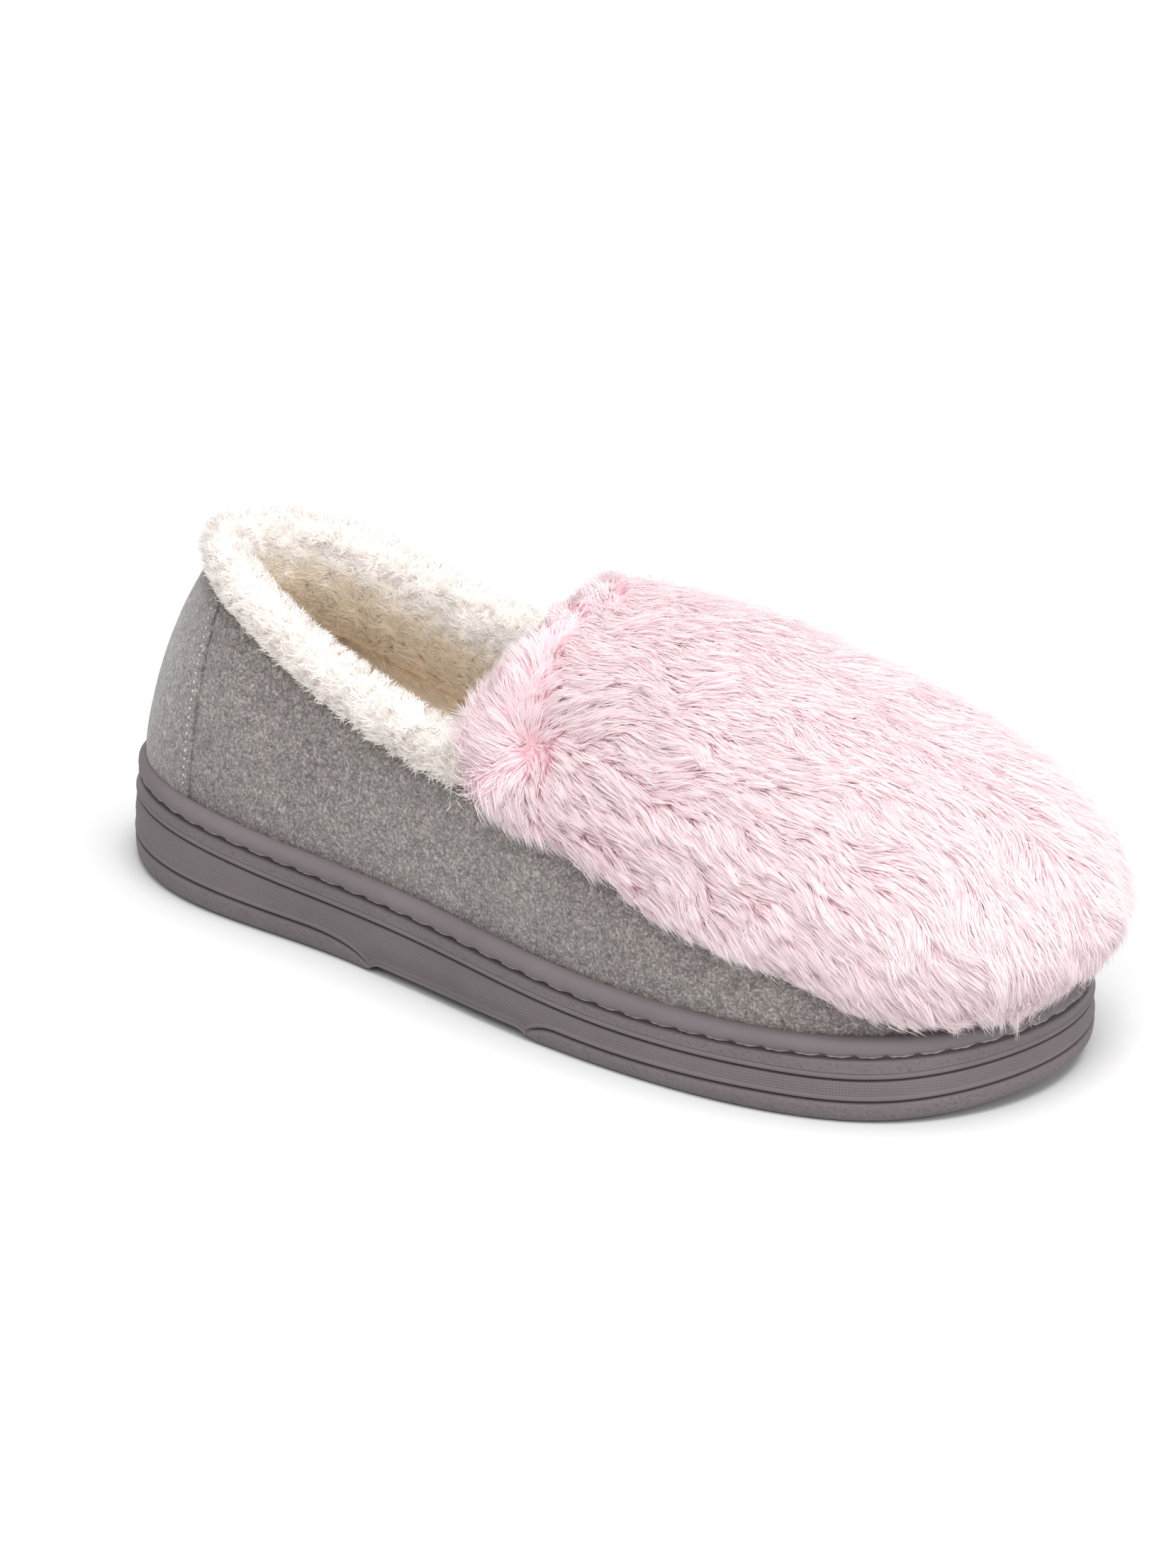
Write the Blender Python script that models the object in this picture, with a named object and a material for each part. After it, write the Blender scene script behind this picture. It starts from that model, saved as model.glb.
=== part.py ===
"""Fur-topped moccasin slipper, right foot, standing empty on its moulded cup sole.

Metres, +X towards the toe, +Y towards the inner (medial) side, +Z up. Every piece is worked out from one
outline of the sole and one last surface over it, so that the pieces fit each other at any size.
"""
import math

import bmesh
import bpy
import numpy as np

# Overall sizes
LENGTH = 0.270  # sole, heel to toe
BALL_WIDTH = 0.1035  # sole, across the ball
HEEL_WIDTH = 0.071  # sole, across the heel
COLLAR_HEIGHT = 0.082  # top edge of the suede at the back of the heel
INSTEP_HEIGHT = 0.089  # ridge of the upper at the throat
TOE_HEIGHT = 0.062  # ridge of the upper at its front end

# Walls, piles and gaps
SOLE_WALL = 0.0045  # side of the cup sole
FLOOR_AT_HEEL = 0.0140  # footbed of the cup above the ground
FLOOR_AT_BALL = 0.0095
INSOLE_THICKNESS = 0.0085  # foam and its short pile
UPPER_WALL = 0.0040  # suede, backing and the short pile of the lining
CUFF_RISE = 0.0125  # the fleece cuff above the edge of the suede
CUFF_THICKNESS = 0.0060  # of the cuff inside the upper
CUFF_DEPTH = 0.018  # how far the cuff hangs down inside
UPRIGHT = 3.0  # how much more the cuff stands upright than it leans in with the suede
FUR_PILE = 0.0115  # long fur, as it lies on the top of the foot
FUR_AT_HEM = 0.0045  # long fur at its lower fringe along the sides
FUR_OVER_TOE = 0.0135  # long fur in front of the toes, out over the lip
HEM_TAPER = 0.5  # the fringe thins to this share at its very edge
FUR_OVERHANG = 0.008  # fur that leans back over the throat
GAP = 0.0003  # between pieces that lie against each other
CURVED_GAP = 0.0006  # between two faceted pieces that curve together
CUFF_GAP = 0.0007  # between the cuff and the lining it hangs against

# How finely the pieces are divided
HALF_COLUMNS = 40  # along each side, heel to toe
QUARTER_COLUMNS = 15  # of them end on the collar
THROAT_COLUMNS = 6  # and these fan out along the throat's edge
UPPER_ROWS = 10  # from the lip to the ridge
FUR_ROWS = 7
TREAD_BARS = 5  # grooves across the forefoot block
HEEL_BARS = 3

# The sole's outline as shares: (along the length, outer side, inner side). The first rows are shares of
# half the heel's width and the others of half the ball's.
HEEL_OUTLINE = ((0.030, 0.48, 0.49), (0.111, 0.87, 0.87), (0.259, 1.02, 0.97))
BALL_OUTLINE = (
    (0.407, 0.81, 0.69),
    (0.556, 0.966, 0.80),
    (0.685, 1.024, 0.966),
    (0.796, 0.985, 0.976),
    (0.900, 0.79, 0.87),
    (0.970, 0.425, 0.56),
)
TOE_TIP = 0.08  # the tip lies this share of half the ball's width to the inner side

# Heights of the sole's wall, in metres, at shares of its length.
ALONG = (0.0, 0.09, 0.26, 0.43, 0.65, 0.78, 0.91, 1.0)
TREAD_LINE = (0.0072, 0.0074, 0.0064, 0.0068, 0.0052, 0.0057, 0.0063, 0.0092)
MIDDLE_LINE = (0.0183, 0.0185, 0.0150, 0.0137, 0.0112, 0.0114, 0.0120, 0.0150)
STITCH_LINE = (0.0240, 0.0240, 0.0207, 0.0191, 0.0164, 0.0168, 0.0178, 0.0200)
LIP_LINE = (0.0284, 0.0283, 0.0250, 0.0235, 0.0210, 0.0210, 0.0222, 0.0245)
ARCH_RISE = 0.0026  # underside of the waist above the ground
ARCH_FROM, ARCH_TO = 0.345, 0.560  # the waist between the heel block and the forefoot block
ARCH_RAMP = 0.022
TOE_SPRING, SPRING_FROM = 0.0040, 0.86
HEEL_LIFT, LIFT_TO = 0.0010, 0.05
GROOVE_DEPTH = 0.0011
HEEL_LEAN, LEAN_TO = 0.0014, 0.14  # the sole's wall leans in towards its lip round the heel

# The last over the sole: heights of the ridge, roundness of the sections, and the top edge of the suede
# as a share of the collar's height, all at shares of the length.
SPINE_FROM, SPINE_TO = 0.111, 0.889  # the ridge line, as shares of the length
HEEL_RIDGE = ((0.111, 1.085), (0.222, 1.27), (0.370, 1.172))  # shares of the collar's height
VAMP_RIDGE = ((0.526, 1.0), (0.62, 0.985), (0.704, 0.925), (0.79, 0.84))  # shares of the instep's height
ROUNDNESS = ((0.0, 1.32), (0.07, 1.60), (0.18, 2.10), (0.45, 2.30), (0.70, 2.12), (1.0, 2.35))
TOPLINE_AT = (0.0, 0.08, 0.13, 0.20, 0.26, 0.35, 0.42, 0.50)
OUTER_TOPLINE = (1.0, 0.990, 0.965, 0.885, 0.80, 0.715, 0.68, 0.665)
INNER_TOPLINE = (1.0, 0.990, 0.975, 0.935, 0.88, 0.800, 0.74, 0.700)
SIDE_SWELL = 0.035  # how far the walls swell out over the lip, as a share of the half width
THROAT_CORNER, THROAT_RIDGE = 0.452, 0.497  # the throat's edge, as shares of the half outline
FUR_HEM = (
    (0.44, 0.0560),
    (0.54, 0.0540),
    (0.62, 0.0500),
    (0.67, 0.0450),
    (0.75, 0.0405),
    (0.82, 0.0360),
    (0.88, 0.0300),
    (0.94, 0.0280),
    (1.00, 0.0310),
)  # height of the fur's lower fringe at shares of the length
CUFF_STOPS = 0.020  # the cuff ends this far before the throat's corner, and the fur starts
FUR_STARTS = 0.004  # this far past it, both as shares of the half outline

PALETTE = {
    "outsole": ((0.205, 0.185, 0.190, 1.0), 0.62),
    "insole": ((0.86, 0.74, 0.60, 1.0), 0.95),
    "upper": ((0.40, 0.385, 0.365, 1.0), 0.95),
    "collar_cuff": ((0.88, 0.86, 0.82, 1.0), 0.97),
    "fur_apron": ((0.90, 0.72, 0.76, 1.0), 0.93),
}


def curve_through(table, at):
    """A smooth curve through the table's (place, value) rows, which never overshoots them."""
    xs, ys = np.array(table, float).T
    slopes = np.diff(ys) / np.diff(xs)
    tangents = np.zeros(len(xs))
    same_way = slopes[1:] * slopes[:-1] > 0
    tangents[1:-1][same_way] = 2.0 / (1.0 / slopes[1:][same_way] + 1.0 / slopes[:-1][same_way])
    tangents[0], tangents[-1] = slopes[0], slopes[-1]
    at = np.clip(np.asarray(at, float), xs[0], xs[-1])
    k = np.clip(np.searchsorted(xs, at, side="right") - 1, 0, len(xs) - 2)
    width = xs[k + 1] - xs[k]
    t = (at - xs[k]) / width
    start = (1 + 2 * t) * (1 - t) ** 2 * ys[k] + t * (1 - t) ** 2 * width * tangents[k]
    end = t * t * (3 - 2 * t) * ys[k + 1] + t * t * (t - 1) * width * tangents[k + 1]
    return start + end


def ease(t):
    """0 to 1 with flat ends."""
    t = np.clip(t, 0.0, 1.0)
    return t * t * (3 - 2 * t)


def closed_spline(points, per_span):
    """Points along the closed cubic curve through these points, with a smooth bend at each."""
    points = np.array(points, float)
    following = np.roll(points, -1, axis=0)
    spans = np.linalg.norm(following - points, axis=1)
    before = np.roll(spans, 1)
    count = len(points)
    system = np.zeros((count, count))
    wanted = np.zeros((count, 2))
    for k in range(count):
        system[k, k - 1] = spans[k]
        system[k, k] = 2 * (spans[k] + before[k])
        system[k, (k + 1) % count] = before[k]
        wanted[k] = 3 * (
            spans[k] / before[k] * (points[k] - points[k - 1])
            + before[k] / spans[k] * (following[k] - points[k])
        )
    tangents = np.linalg.solve(system, wanted)
    t = np.linspace(0, 1, per_span, endpoint=False)[:, None]
    made = []
    for k in range(count):
        a, b = points[k], following[k]
        m, n = tangents[k] * spans[k], tangents[(k + 1) % count] * spans[k]
        made.append(
            (1 + 2 * t) * (1 - t) ** 2 * a + t * (1 - t) ** 2 * m + t * t * (3 - 2 * t) * b + t * t * (t - 1) * n
        )
    return np.concatenate(made)


def outline_sides(per_span=60):
    """The sole's outline as two dense runs of points, each from the back of the heel to the toe's tip."""
    outer, inner = [], []
    for rows, half in ((HEEL_OUTLINE, HEEL_WIDTH / 2), (BALL_OUTLINE, BALL_WIDTH / 2)):
        for along, out, inn in rows:
            outer.append((along * LENGTH, -out * half))
            inner.append((along * LENGTH, inn * half))
    knots = [(0.0, 0.0), *outer, (LENGTH, TOE_TIP * BALL_WIDTH / 2), *inner[::-1]]
    ring = closed_spline(knots, per_span)
    tip = (len(outer) + 1) * per_span
    return ring[: tip + 1], np.concatenate([ring[tip:], ring[:1]])[::-1]


def evenly(run, shares):
    """Points and outward normals at shares of the run's own length."""
    steps = np.r_[0, np.cumsum(np.linalg.norm(np.diff(run, axis=0), axis=1))]
    steps /= steps[-1]
    place = np.stack([np.interp(shares, steps, run[:, axis]) for axis in (0, 1)], -1)
    step = 2e-3
    ahead = np.stack([np.interp(shares + step, steps, run[:, axis]) for axis in (0, 1)], -1)
    behind = np.stack([np.interp(shares - step, steps, run[:, axis]) for axis in (0, 1)], -1)
    return place, ahead - behind


OUTER_RUN, INNER_RUN = outline_sides()


def outline(side, share, inset):
    """(x, y) on the sole's outline, moved inwards. side is -1 for the outer side and 1 for the inner one."""
    share = np.asarray(share, float)
    outer, outer_way = evenly(OUTER_RUN, share)
    inner, inner_way = evenly(INNER_RUN, share)
    is_outer = (np.asarray(side) < 0)[..., None]
    place = np.where(is_outer, outer, inner)
    way = np.where(is_outer, outer_way, inner_way)
    ends = (share < 1e-3) | (share > 1 - 1e-3)
    normal = np.where(is_outer, way[..., ::-1] * [1, -1], way[..., ::-1] * [-1, 1])
    end_normal = np.stack([np.where(share < 0.5, -1.0, 1.0), np.zeros_like(share)], -1)
    normal = np.where(ends[..., None], end_normal, normal)
    normal /= np.linalg.norm(normal, axis=-1, keepdims=True)
    return place - normal * np.asarray(inset)[..., None]


def height(line, x):
    """One of the sole's heights at x."""
    return curve_through(list(zip(ALONG, line)), x / LENGTH)


def underside(x):
    """Height of the sole's underside: two flat blocks, the waist between them, and the toe's spring."""
    along = x / LENGTH
    waist = ease((along - ARCH_FROM) / ARCH_RAMP) * ease((ARCH_TO - along) / ARCH_RAMP)
    spring = np.clip((along - SPRING_FROM) / (1 - SPRING_FROM), 0, 1) ** 2
    lift = np.clip((LIFT_TO - along) / LIFT_TO, 0, 1) ** 2
    return ARCH_RISE * waist + TOE_SPRING * spring + HEEL_LIFT * lift


def floor_height(x):
    """Height of the footbed inside the cup."""
    return FLOOR_AT_HEEL + (FLOOR_AT_BALL - FLOOR_AT_HEEL) * ease((x / LENGTH - 0.2) / 0.4)


def ring_places():
    """The columns round the shoe: (side, share of the half outline), heel back first, then the outer side."""
    shares = np.arange(1, HALF_COLUMNS) / HALF_COLUMNS
    side = np.r_[-1, -np.ones(HALF_COLUMNS - 1), -1, np.ones(HALF_COLUMNS - 1)]
    share = np.r_[0, shares, 1, shares[::-1]]
    return side, share


def last_point(side, share, angle):
    """The outer face of the upper. angle runs from 0 at the sole's lip to pi/2 at the ridge."""
    inset = np.full(np.shape(share), SOLE_WALL + GAP)
    base = outline(side, share, inset)
    x, y = base[..., 0], base[..., 1]
    middle = (outline(-np.ones_like(inset), share, inset) + outline(np.ones_like(inset), share, inset))[..., 0] / 2
    spine = LENGTH * (SPINE_FROM + (SPINE_TO - SPINE_FROM) * middle / LENGTH)
    spine_y = TOE_TIP * BALL_WIDTH / 2 * ease(spine / LENGTH - 0.2)
    ridge_table = [(at, of_collar * COLLAR_HEIGHT) for at, of_collar in HEEL_RIDGE]
    ridge_table += [(at, of_instep * INSTEP_HEIGHT) for at, of_instep in VAMP_RIDGE]
    ridge_table += [(SPINE_TO, TOE_HEIGHT)]
    ridge = curve_through(ridge_table, spine / LENGTH)
    power = 2.0 / curve_through(ROUNDNESS, middle / LENGTH)
    inwards = np.clip(np.cos(angle), 0, None) ** power
    upwards = np.sin(angle) ** power
    swell = 1 + SIDE_SWELL * np.sin(math.pi * np.clip(upwards / 0.8, 0, 1)) * ease((x / LENGTH - 0.3) / 0.3)
    lip = height(LIP_LINE, x)
    return np.stack(
        [
            spine + (x - spine) * inwards * swell,
            spine_y + (y - spine_y) * inwards * swell,
            lip + (ridge - lip) * upwards,
        ],
        -1,
    )


def last_normal(side, share, angle):
    """Outward normal of the last, with both sides agreeing where they meet on the ridge."""
    def one(which):
        d_angle, d_share = 0.02, 0.004
        low, high = np.clip(angle - d_angle, 0.005, None), np.clip(angle + d_angle, None, math.pi / 2 - 0.005)
        up = last_point(which, share, high) - last_point(which, share, low)
        near, far = np.clip(share - d_share, 0, 1), np.clip(share + d_share, 0, 1)
        along = last_point(which, far, angle) - last_point(which, near, angle)
        across = np.cross(along, up) * -np.asarray(which, float)[..., None]
        return across / np.linalg.norm(across, axis=-1, keepdims=True)
    own = one(side)
    both = one(-np.ones_like(angle)) + one(np.ones_like(angle))
    at_ridge = (angle > math.pi / 2 - 0.01)[..., None]
    at_end = ((share < 1e-3) | (share > 1 - 1e-3))[..., None]
    own = np.where(at_ridge, both, own)
    own = np.where(at_end, both * [1, 0, 1], own)
    return own / np.linalg.norm(own, axis=-1, keepdims=True)


def skin(side, share, angle, out=0.0):
    """A point of the last, moved out along its normal."""
    side, share, angle, out = np.broadcast_arrays(
        np.asarray(side, float), np.asarray(share, float), np.asarray(angle, float), np.asarray(out, float)
    )
    return last_point(side, share, angle) + last_normal(side, share, angle) * out[..., None]


def angle_at_height(side, share, z):
    """The angle at which the last reaches this height."""
    low, high = np.zeros_like(share), np.full_like(share, math.pi / 2)
    for _ in range(24):
        middle = (low + high) / 2
        below = last_point(side, share, middle)[..., 2] < z
        low, high = np.where(below, middle, low), np.where(below, high, middle)
    return (low + high) / 2


def collar_angle(side, share):
    """The angle of the suede's top edge, from the back of the heel to the throat's corner."""
    along = last_point(side, share, np.zeros_like(share))[..., 0] / LENGTH
    outer = curve_through(list(zip(TOPLINE_AT, OUTER_TOPLINE)), along)
    inner = curve_through(list(zip(TOPLINE_AT, INNER_TOPLINE)), along)
    return angle_at_height(side, share, np.where(np.asarray(side) < 0, outer, inner) * COLLAR_HEIGHT)


def top_edge(side, share):
    """Where each column ends: on the collar, on the throat's edge or on the ridge, as (share, angle)."""
    fan_from = QUARTER_COLUMNS / HALF_COLUMNS
    fan_to = (QUARTER_COLUMNS + THROAT_COLUMNS) / HALF_COLUMNS
    quarter = share * THROAT_CORNER / fan_from
    along_throat = np.clip((share - fan_from) / (fan_to - fan_from), 0, 1)
    throat = THROAT_CORNER + (THROAT_RIDGE - THROAT_CORNER) * along_throat
    vamp = THROAT_RIDGE + (share - fan_to) * (1 - THROAT_RIDGE) / (1 - fan_to)
    top_share = np.where(share < fan_from, quarter, np.where(share > fan_to, vamp, throat))
    edge = collar_angle(side, np.minimum(top_share, THROAT_CORNER))
    return top_share, edge + (math.pi / 2 - edge) * along_throat


def new_object(name, points, faces):
    """A closed mesh with its own material, its doubles merged and its faces pointing out."""
    mesh = bpy.data.meshes.new(name)
    mesh.from_pydata([tuple(p) for p in points], [], faces)
    bm = bmesh.new()
    bm.from_mesh(mesh)
    bmesh.ops.remove_doubles(bm, verts=bm.verts, dist=1e-6)
    bmesh.ops.dissolve_degenerate(bm, edges=bm.edges, dist=1e-6)
    bmesh.ops.recalc_face_normals(bm, faces=bm.faces)
    bm.to_mesh(mesh)
    bm.free()
    mesh.shade_smooth()
    mesh.set_sharp_from_angle(angle=math.radians(40))
    obj = bpy.data.objects.new(name, mesh)
    bpy.context.scene.collection.objects.link(obj)
    if name in PALETTE:
        colour, roughness = PALETTE[name]
        material = bpy.data.materials.new(name)
        material.use_nodes = True
        shader = material.node_tree.nodes["Principled BSDF"]
        shader.inputs["Base Color"].default_value = colour
        shader.inputs["Roughness"].default_value = roughness
        shader.inputs["Metallic"].default_value = 0.0
        material.diffuse_color = colour
        mesh.materials.append(material)
    return obj


def ring_faces(lower, upper, count):
    """Quads between two rings of the same columns; lower and upper are the rings' first indices."""
    return [(lower + k, lower + (k + 1) % count, upper + (k + 1) % count, upper + k) for k in range(count)]


def across_faces(first, flip):
    """Strips from each column of the outer side to the same column of the inner side."""
    count = 2 * HALF_COLUMNS
    faces = [(first, first + 1, first + count - 1)]
    for k in range(1, HALF_COLUMNS - 1):
        faces.append((first + k, first + k + 1, first + count - k - 1, first + count - k))
    k = HALF_COLUMNS - 1
    faces.append((first + k, first + k + 1, first + k + 2))
    return [face[::-1] for face in faces] if flip else faces


def lofted(name, rings):
    """A solid through closed rings, from its underside up, with strips across both ends."""
    count = len(rings[0])
    faces = across_faces(0, True)
    for row in range(len(rings) - 1):
        faces += ring_faces(row * count, (row + 1) * count, count)
    faces += across_faces((len(rings) - 1) * count, False)
    return new_object(name, np.concatenate(rings), faces)


def make_outsole():
    """The moulded cup: tread blocks, grooved wall, rounded lip, and the footbed inside."""
    side, share = ring_places()
    x = outline(side, share, np.zeros(len(side)))[:, 0]
    under, tread, middle = underside(x), height(TREAD_LINE, x), height(MIDDLE_LINE, x)
    stitch, lip, floor = height(STITCH_LINE, x), height(LIP_LINE, x), floor_height(x)
    along = x / LENGTH
    in_waist = ease((along - ARCH_FROM + ARCH_RAMP) / ARCH_RAMP) * ease((ARCH_TO + ARCH_RAMP - along) / ARCH_RAMP)
    tread_depth = GROOVE_DEPTH * (1 - in_waist)
    lean = HEEL_LEAN * (1 - ease(along / LEAN_TO))
    mm = 0.001
    profile = (
        (6.0 * mm, under),
        (2.2 * mm, under),
        (0.5 * mm, under + 1.0 * mm),
        (0.0 * mm, under + 2.4 * mm),
        (0.1 * mm, tread - 0.9 * mm),
        (0.2 * mm + tread_depth, tread),
        (0.2 * mm, tread + 0.9 * mm),
        (0.3 * mm + 0.4 * lean, middle - 0.8 * mm),
        (0.4 * mm + 0.4 * lean + GROOVE_DEPTH, middle),
        (0.5 * mm + 0.4 * lean, middle + 0.8 * mm),
        (0.6 * mm + 0.8 * lean, stitch - 0.9 * mm),
        (0.9 * mm + 0.8 * lean + GROOVE_DEPTH, stitch),
        (0.8 * mm + 0.8 * lean, stitch + 0.9 * mm),
        (0.4 * mm + lean, (stitch + lip) / 2),
        (0.9 * mm + lean, lip - 1.6 * mm),
        (2.2 * mm + 0.6 * lean, lip - 0.3 * mm),
        (SOLE_WALL - 0.7 * mm, lip),
        (SOLE_WALL, lip - 0.6 * mm),
        (SOLE_WALL, floor),
    )
    rings = []
    for inset, z in profile:
        place = outline(side, share, np.broadcast_to(inset, x.shape))
        rings.append(np.column_stack([place, z]))
    sole = lofted("outsole", rings)
    cut_tread(sole)
    return sole


def cut_tread(sole):
    """Grooves across the two tread blocks, open at both edges of the sole's flat underside."""
    bar_width, bar_depth, margin = 0.003, 0.0016, 0.012
    blocks = (
        (HEEL_BARS, LIFT_TO * LENGTH, (ARCH_FROM - ARCH_RAMP) * LENGTH),
        (TREAD_BARS, (ARCH_TO + ARCH_RAMP) * LENGTH, SPRING_FROM * LENGTH),
    )
    points, faces = [], []
    for bars, start, stop in blocks:
        for bar in range(bars):
            x = start + (stop - start) * (bar + 1) / (bars + 1)
            outer_y = np.interp(x, OUTER_RUN[:, 0], OUTER_RUN[:, 1]) + margin
            inner_y = np.interp(x, INNER_RUN[:, 0], INNER_RUN[:, 1]) - margin
            first = len(points)
            for z in (-bar_depth, bar_depth):
                points += [
                    (x - bar_width / 2, outer_y, z),
                    (x + bar_width / 2, outer_y, z),
                    (x + bar_width / 2, inner_y, z),
                    (x - bar_width / 2, inner_y, z),
                ]
            faces += [tuple(first + k for k in (3, 2, 1, 0)), tuple(first + k for k in (4, 5, 6, 7))]
            faces += [(first + k, first + (k + 1) % 4, first + 4 + (k + 1) % 4, first + 4 + k) for k in range(4)]
    cutter = new_object("tread_cutter", points, faces)
    cutter.hide_render = True
    cutter.display_type = "WIRE"
    boolean = sole.modifiers.new("tread grooves", "BOOLEAN")
    boolean.operation = "DIFFERENCE"
    boolean.object = cutter


def make_insole():
    """The padded footbed, which fills the bottom of the upper."""
    side, share = ring_places()
    inset = SOLE_WALL + UPPER_WALL + 2 * GAP + CURVED_GAP
    rings = []
    crown = 0.0015
    for more, up in ((0.0, GAP), (0.0, INSOLE_THICKNESS - crown), (crown, INSOLE_THICKNESS)):
        place = outline(side, share, np.full(len(side), inset + more))
        rings.append(np.column_stack([place, floor_height(place[:, 0]) + up]))
    return lofted("insole", rings)


def make_upper():
    """One hollow shell from the footbed to the collar, closed over the toes and open at the foot's way in."""
    side, share = ring_places()
    top_share, top_angle = top_edge(side, share)
    faces_out, faces_in = [], []
    for out, kept in ((0.0, faces_out), (-UPPER_WALL, faces_in)):
        base = outline(side, share, np.full(len(side), SOLE_WALL + GAP - out))
        lip = height(LIP_LINE, outline(side, share, np.zeros(len(side)))[:, 0])
        foot = floor_height(base[:, 0]) + GAP
        kept.append(np.column_stack([base, foot]))
        kept.append(np.column_stack([base, (foot + lip) / 2]))
        for row in range(1, UPPER_ROWS + 1):
            t = row / UPPER_ROWS
            kept.append(skin(side, share + (top_share - share) * t**1.5, top_angle * t, out))
    rings = faces_out + faces_in[::-1]
    count = len(side)
    faces = []
    rows = len(faces_out)
    for row in range(rows - 1):
        faces += ring_faces(row * count, (row + 1) * count, count)
    for row in range(rows, 2 * rows - 1):
        faces += ring_faces(row * count, (row + 1) * count, count)
    faces += ring_faces((2 * rows - 1) * count, 0, count)
    rim = ring_faces((rows - 1) * count, rows * count, count)
    open_until = QUARTER_COLUMNS + THROAT_COLUMNS
    for k, face in enumerate(rim):
        from_heel = min(k, count - 1 - k)
        if from_heel < open_until:
            faces.append(face)
    return new_object("upper", np.concatenate(rings), faces)


def swept(name, sections):
    """A solid through sections of the same number of points, one after another, with flat ends."""
    per = len(sections[0])
    faces = []
    for k in range(len(sections) - 1):
        for j in range(per):
            faces.append((k * per + j, k * per + (j + 1) % per, (k + 1) * per + (j + 1) % per, (k + 1) * per + j))
    last = (len(sections) - 1) * per
    faces += [tuple(range(per))[::-1], tuple(range(last, last + per))]
    return new_object(name, np.concatenate(sections), faces)


def make_cuff():
    """The fleece roll round the collar, which hooks over the suede's edge and hangs down inside."""
    inner_face = UPPER_WALL + CUFF_GAP
    deep = inner_face + CUFF_THICKNESS
    # (distance out from the suede's face, distance above its top edge)
    profile = (
        (0.0, CUFF_GAP),
        (0.0016, 0.30 * CUFF_RISE),
        (0.0010, 0.70 * CUFF_RISE),
        (-0.30 * deep, CUFF_RISE),
        (-0.65 * deep, 0.96 * CUFF_RISE),
        (-0.93 * deep, 0.62 * CUFF_RISE),
        (-deep, 0.10 * CUFF_RISE),
        (-deep, -0.55 * CUFF_DEPTH),
        (-0.5 * (deep + inner_face), -CUFF_DEPTH),
        (-inner_face, -0.85 * CUFF_DEPTH),
        (-inner_face, -0.30 * CUFF_DEPTH),
        (-inner_face, CUFF_GAP),
    )
    half = THROAT_CORNER * np.arange(1, QUARTER_COLUMNS) / QUARTER_COLUMNS
    half = np.r_[half, THROAT_CORNER - CUFF_STOPS]
    along = np.r_[-half[::-1], 0, half]
    side, share = np.where(along > 0, 1.0, -1.0), np.abs(along)
    edge = collar_angle(side, share)
    step = 0.01
    per_angle = np.linalg.norm(skin(side, share, edge) - skin(side, share, edge - step), axis=-1) / step
    outward = last_normal(side, share, edge)
    lean = skin(side, share, edge) - skin(side, share, edge - step)
    lean /= np.linalg.norm(lean, axis=-1, keepdims=True)
    upward = lean + [0, 0, UPRIGHT]
    upward /= np.linalg.norm(upward, axis=-1, keepdims=True)
    points = []
    for out, up in profile:
        if up > 0:
            points.append(skin(side, share, edge) + outward * out + upward * up)
        else:
            points.append(skin(side, share, edge + up / per_angle, out))
    return swept("collar_cuff", list(np.stack(points, 1)))


def make_fur_apron():
    """The long-haired top piece, as thick as its fur, over the vamp from hem to hem."""
    start = THROAT_CORNER + FUR_STARTS
    shares = start + (1 - start) * np.linspace(0, 1, HALF_COLUMNS * 5 // 8) ** 0.92
    side = np.r_[-np.ones(len(shares)), np.ones(len(shares) - 1)]
    share = np.r_[shares, shares[-2::-1]]
    x = last_point(side, share, np.zeros_like(share))[:, 0] / LENGTH
    clear_of_lip = height(LIP_LINE, x * LENGTH) + 2 * CURVED_GAP
    hem = angle_at_height(side, share, np.maximum(curve_through(FUR_HEM, x), clear_of_lip))
    ridge_share = np.maximum(share, THROAT_RIDGE + FUR_STARTS)
    layers = {}
    for layer in ("under", "over"):
        rows = []
        for row in range(FUR_ROWS + 1):
            t = row / FUR_ROWS
            at = share + (ridge_share - share) * ease(t)
            angle = hem + (math.pi / 2 - hem) * t
            if layer == "under":
                out = np.full_like(share, CURVED_GAP)
            else:
                fringe = FUR_AT_HEM + (FUR_OVER_TOE - FUR_AT_HEM) * ease((x - 0.80) / 0.18)
                out = fringe + (FUR_PILE - fringe) * ease(1.3 * t)
                if row == 0:
                    out = out * HEM_TAPER
            place = skin(side, at, angle, out)
            if layer == "over":
                lean_back = FUR_OVERHANG * (1 - ease((share - start) / 0.06)) * ease(2.5 * t)
                place = place - np.stack([lean_back, 0 * lean_back, 0 * lean_back], -1)
            rows.append(place)
        layers[layer] = rows
    count = len(share)
    points = np.concatenate(layers["under"] + layers["over"])
    rows = FUR_ROWS + 1
    faces = []
    for first in (0, rows * count):
        for row in range(FUR_ROWS):
            for k in range(count - 1):
                low = first + row * count + k
                faces.append((low, low + 1, low + count + 1, low + count))
    over = rows * count
    faces += [(k, k + 1, over + k + 1, over + k) for k in range(count - 1)]
    for k in (0, count - 1):
        for row in range(FUR_ROWS):
            low = row * count + k
            faces.append((low, low + count, over + low + count, over + low))
    return new_object("fur_apron", points, faces)


def centre_on_footprint(pieces):
    """Hangs the pieces on an empty that puts the middle of the shoe's footprint at the world's origin."""
    corners = np.concatenate([np.array([vertex.co for vertex in piece.data.vertices]) for piece in pieces])
    low, high = corners.min(axis=0), corners.max(axis=0)
    shoe = bpy.data.objects.new("shoe", None)
    shoe.location = (-(low[0] + high[0]) / 2, -(low[1] + high[1]) / 2, -low[2])
    bpy.context.scene.collection.objects.link(shoe)
    for obj in bpy.data.objects:
        if obj.type == "MESH":
            obj.parent = shoe


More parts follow.
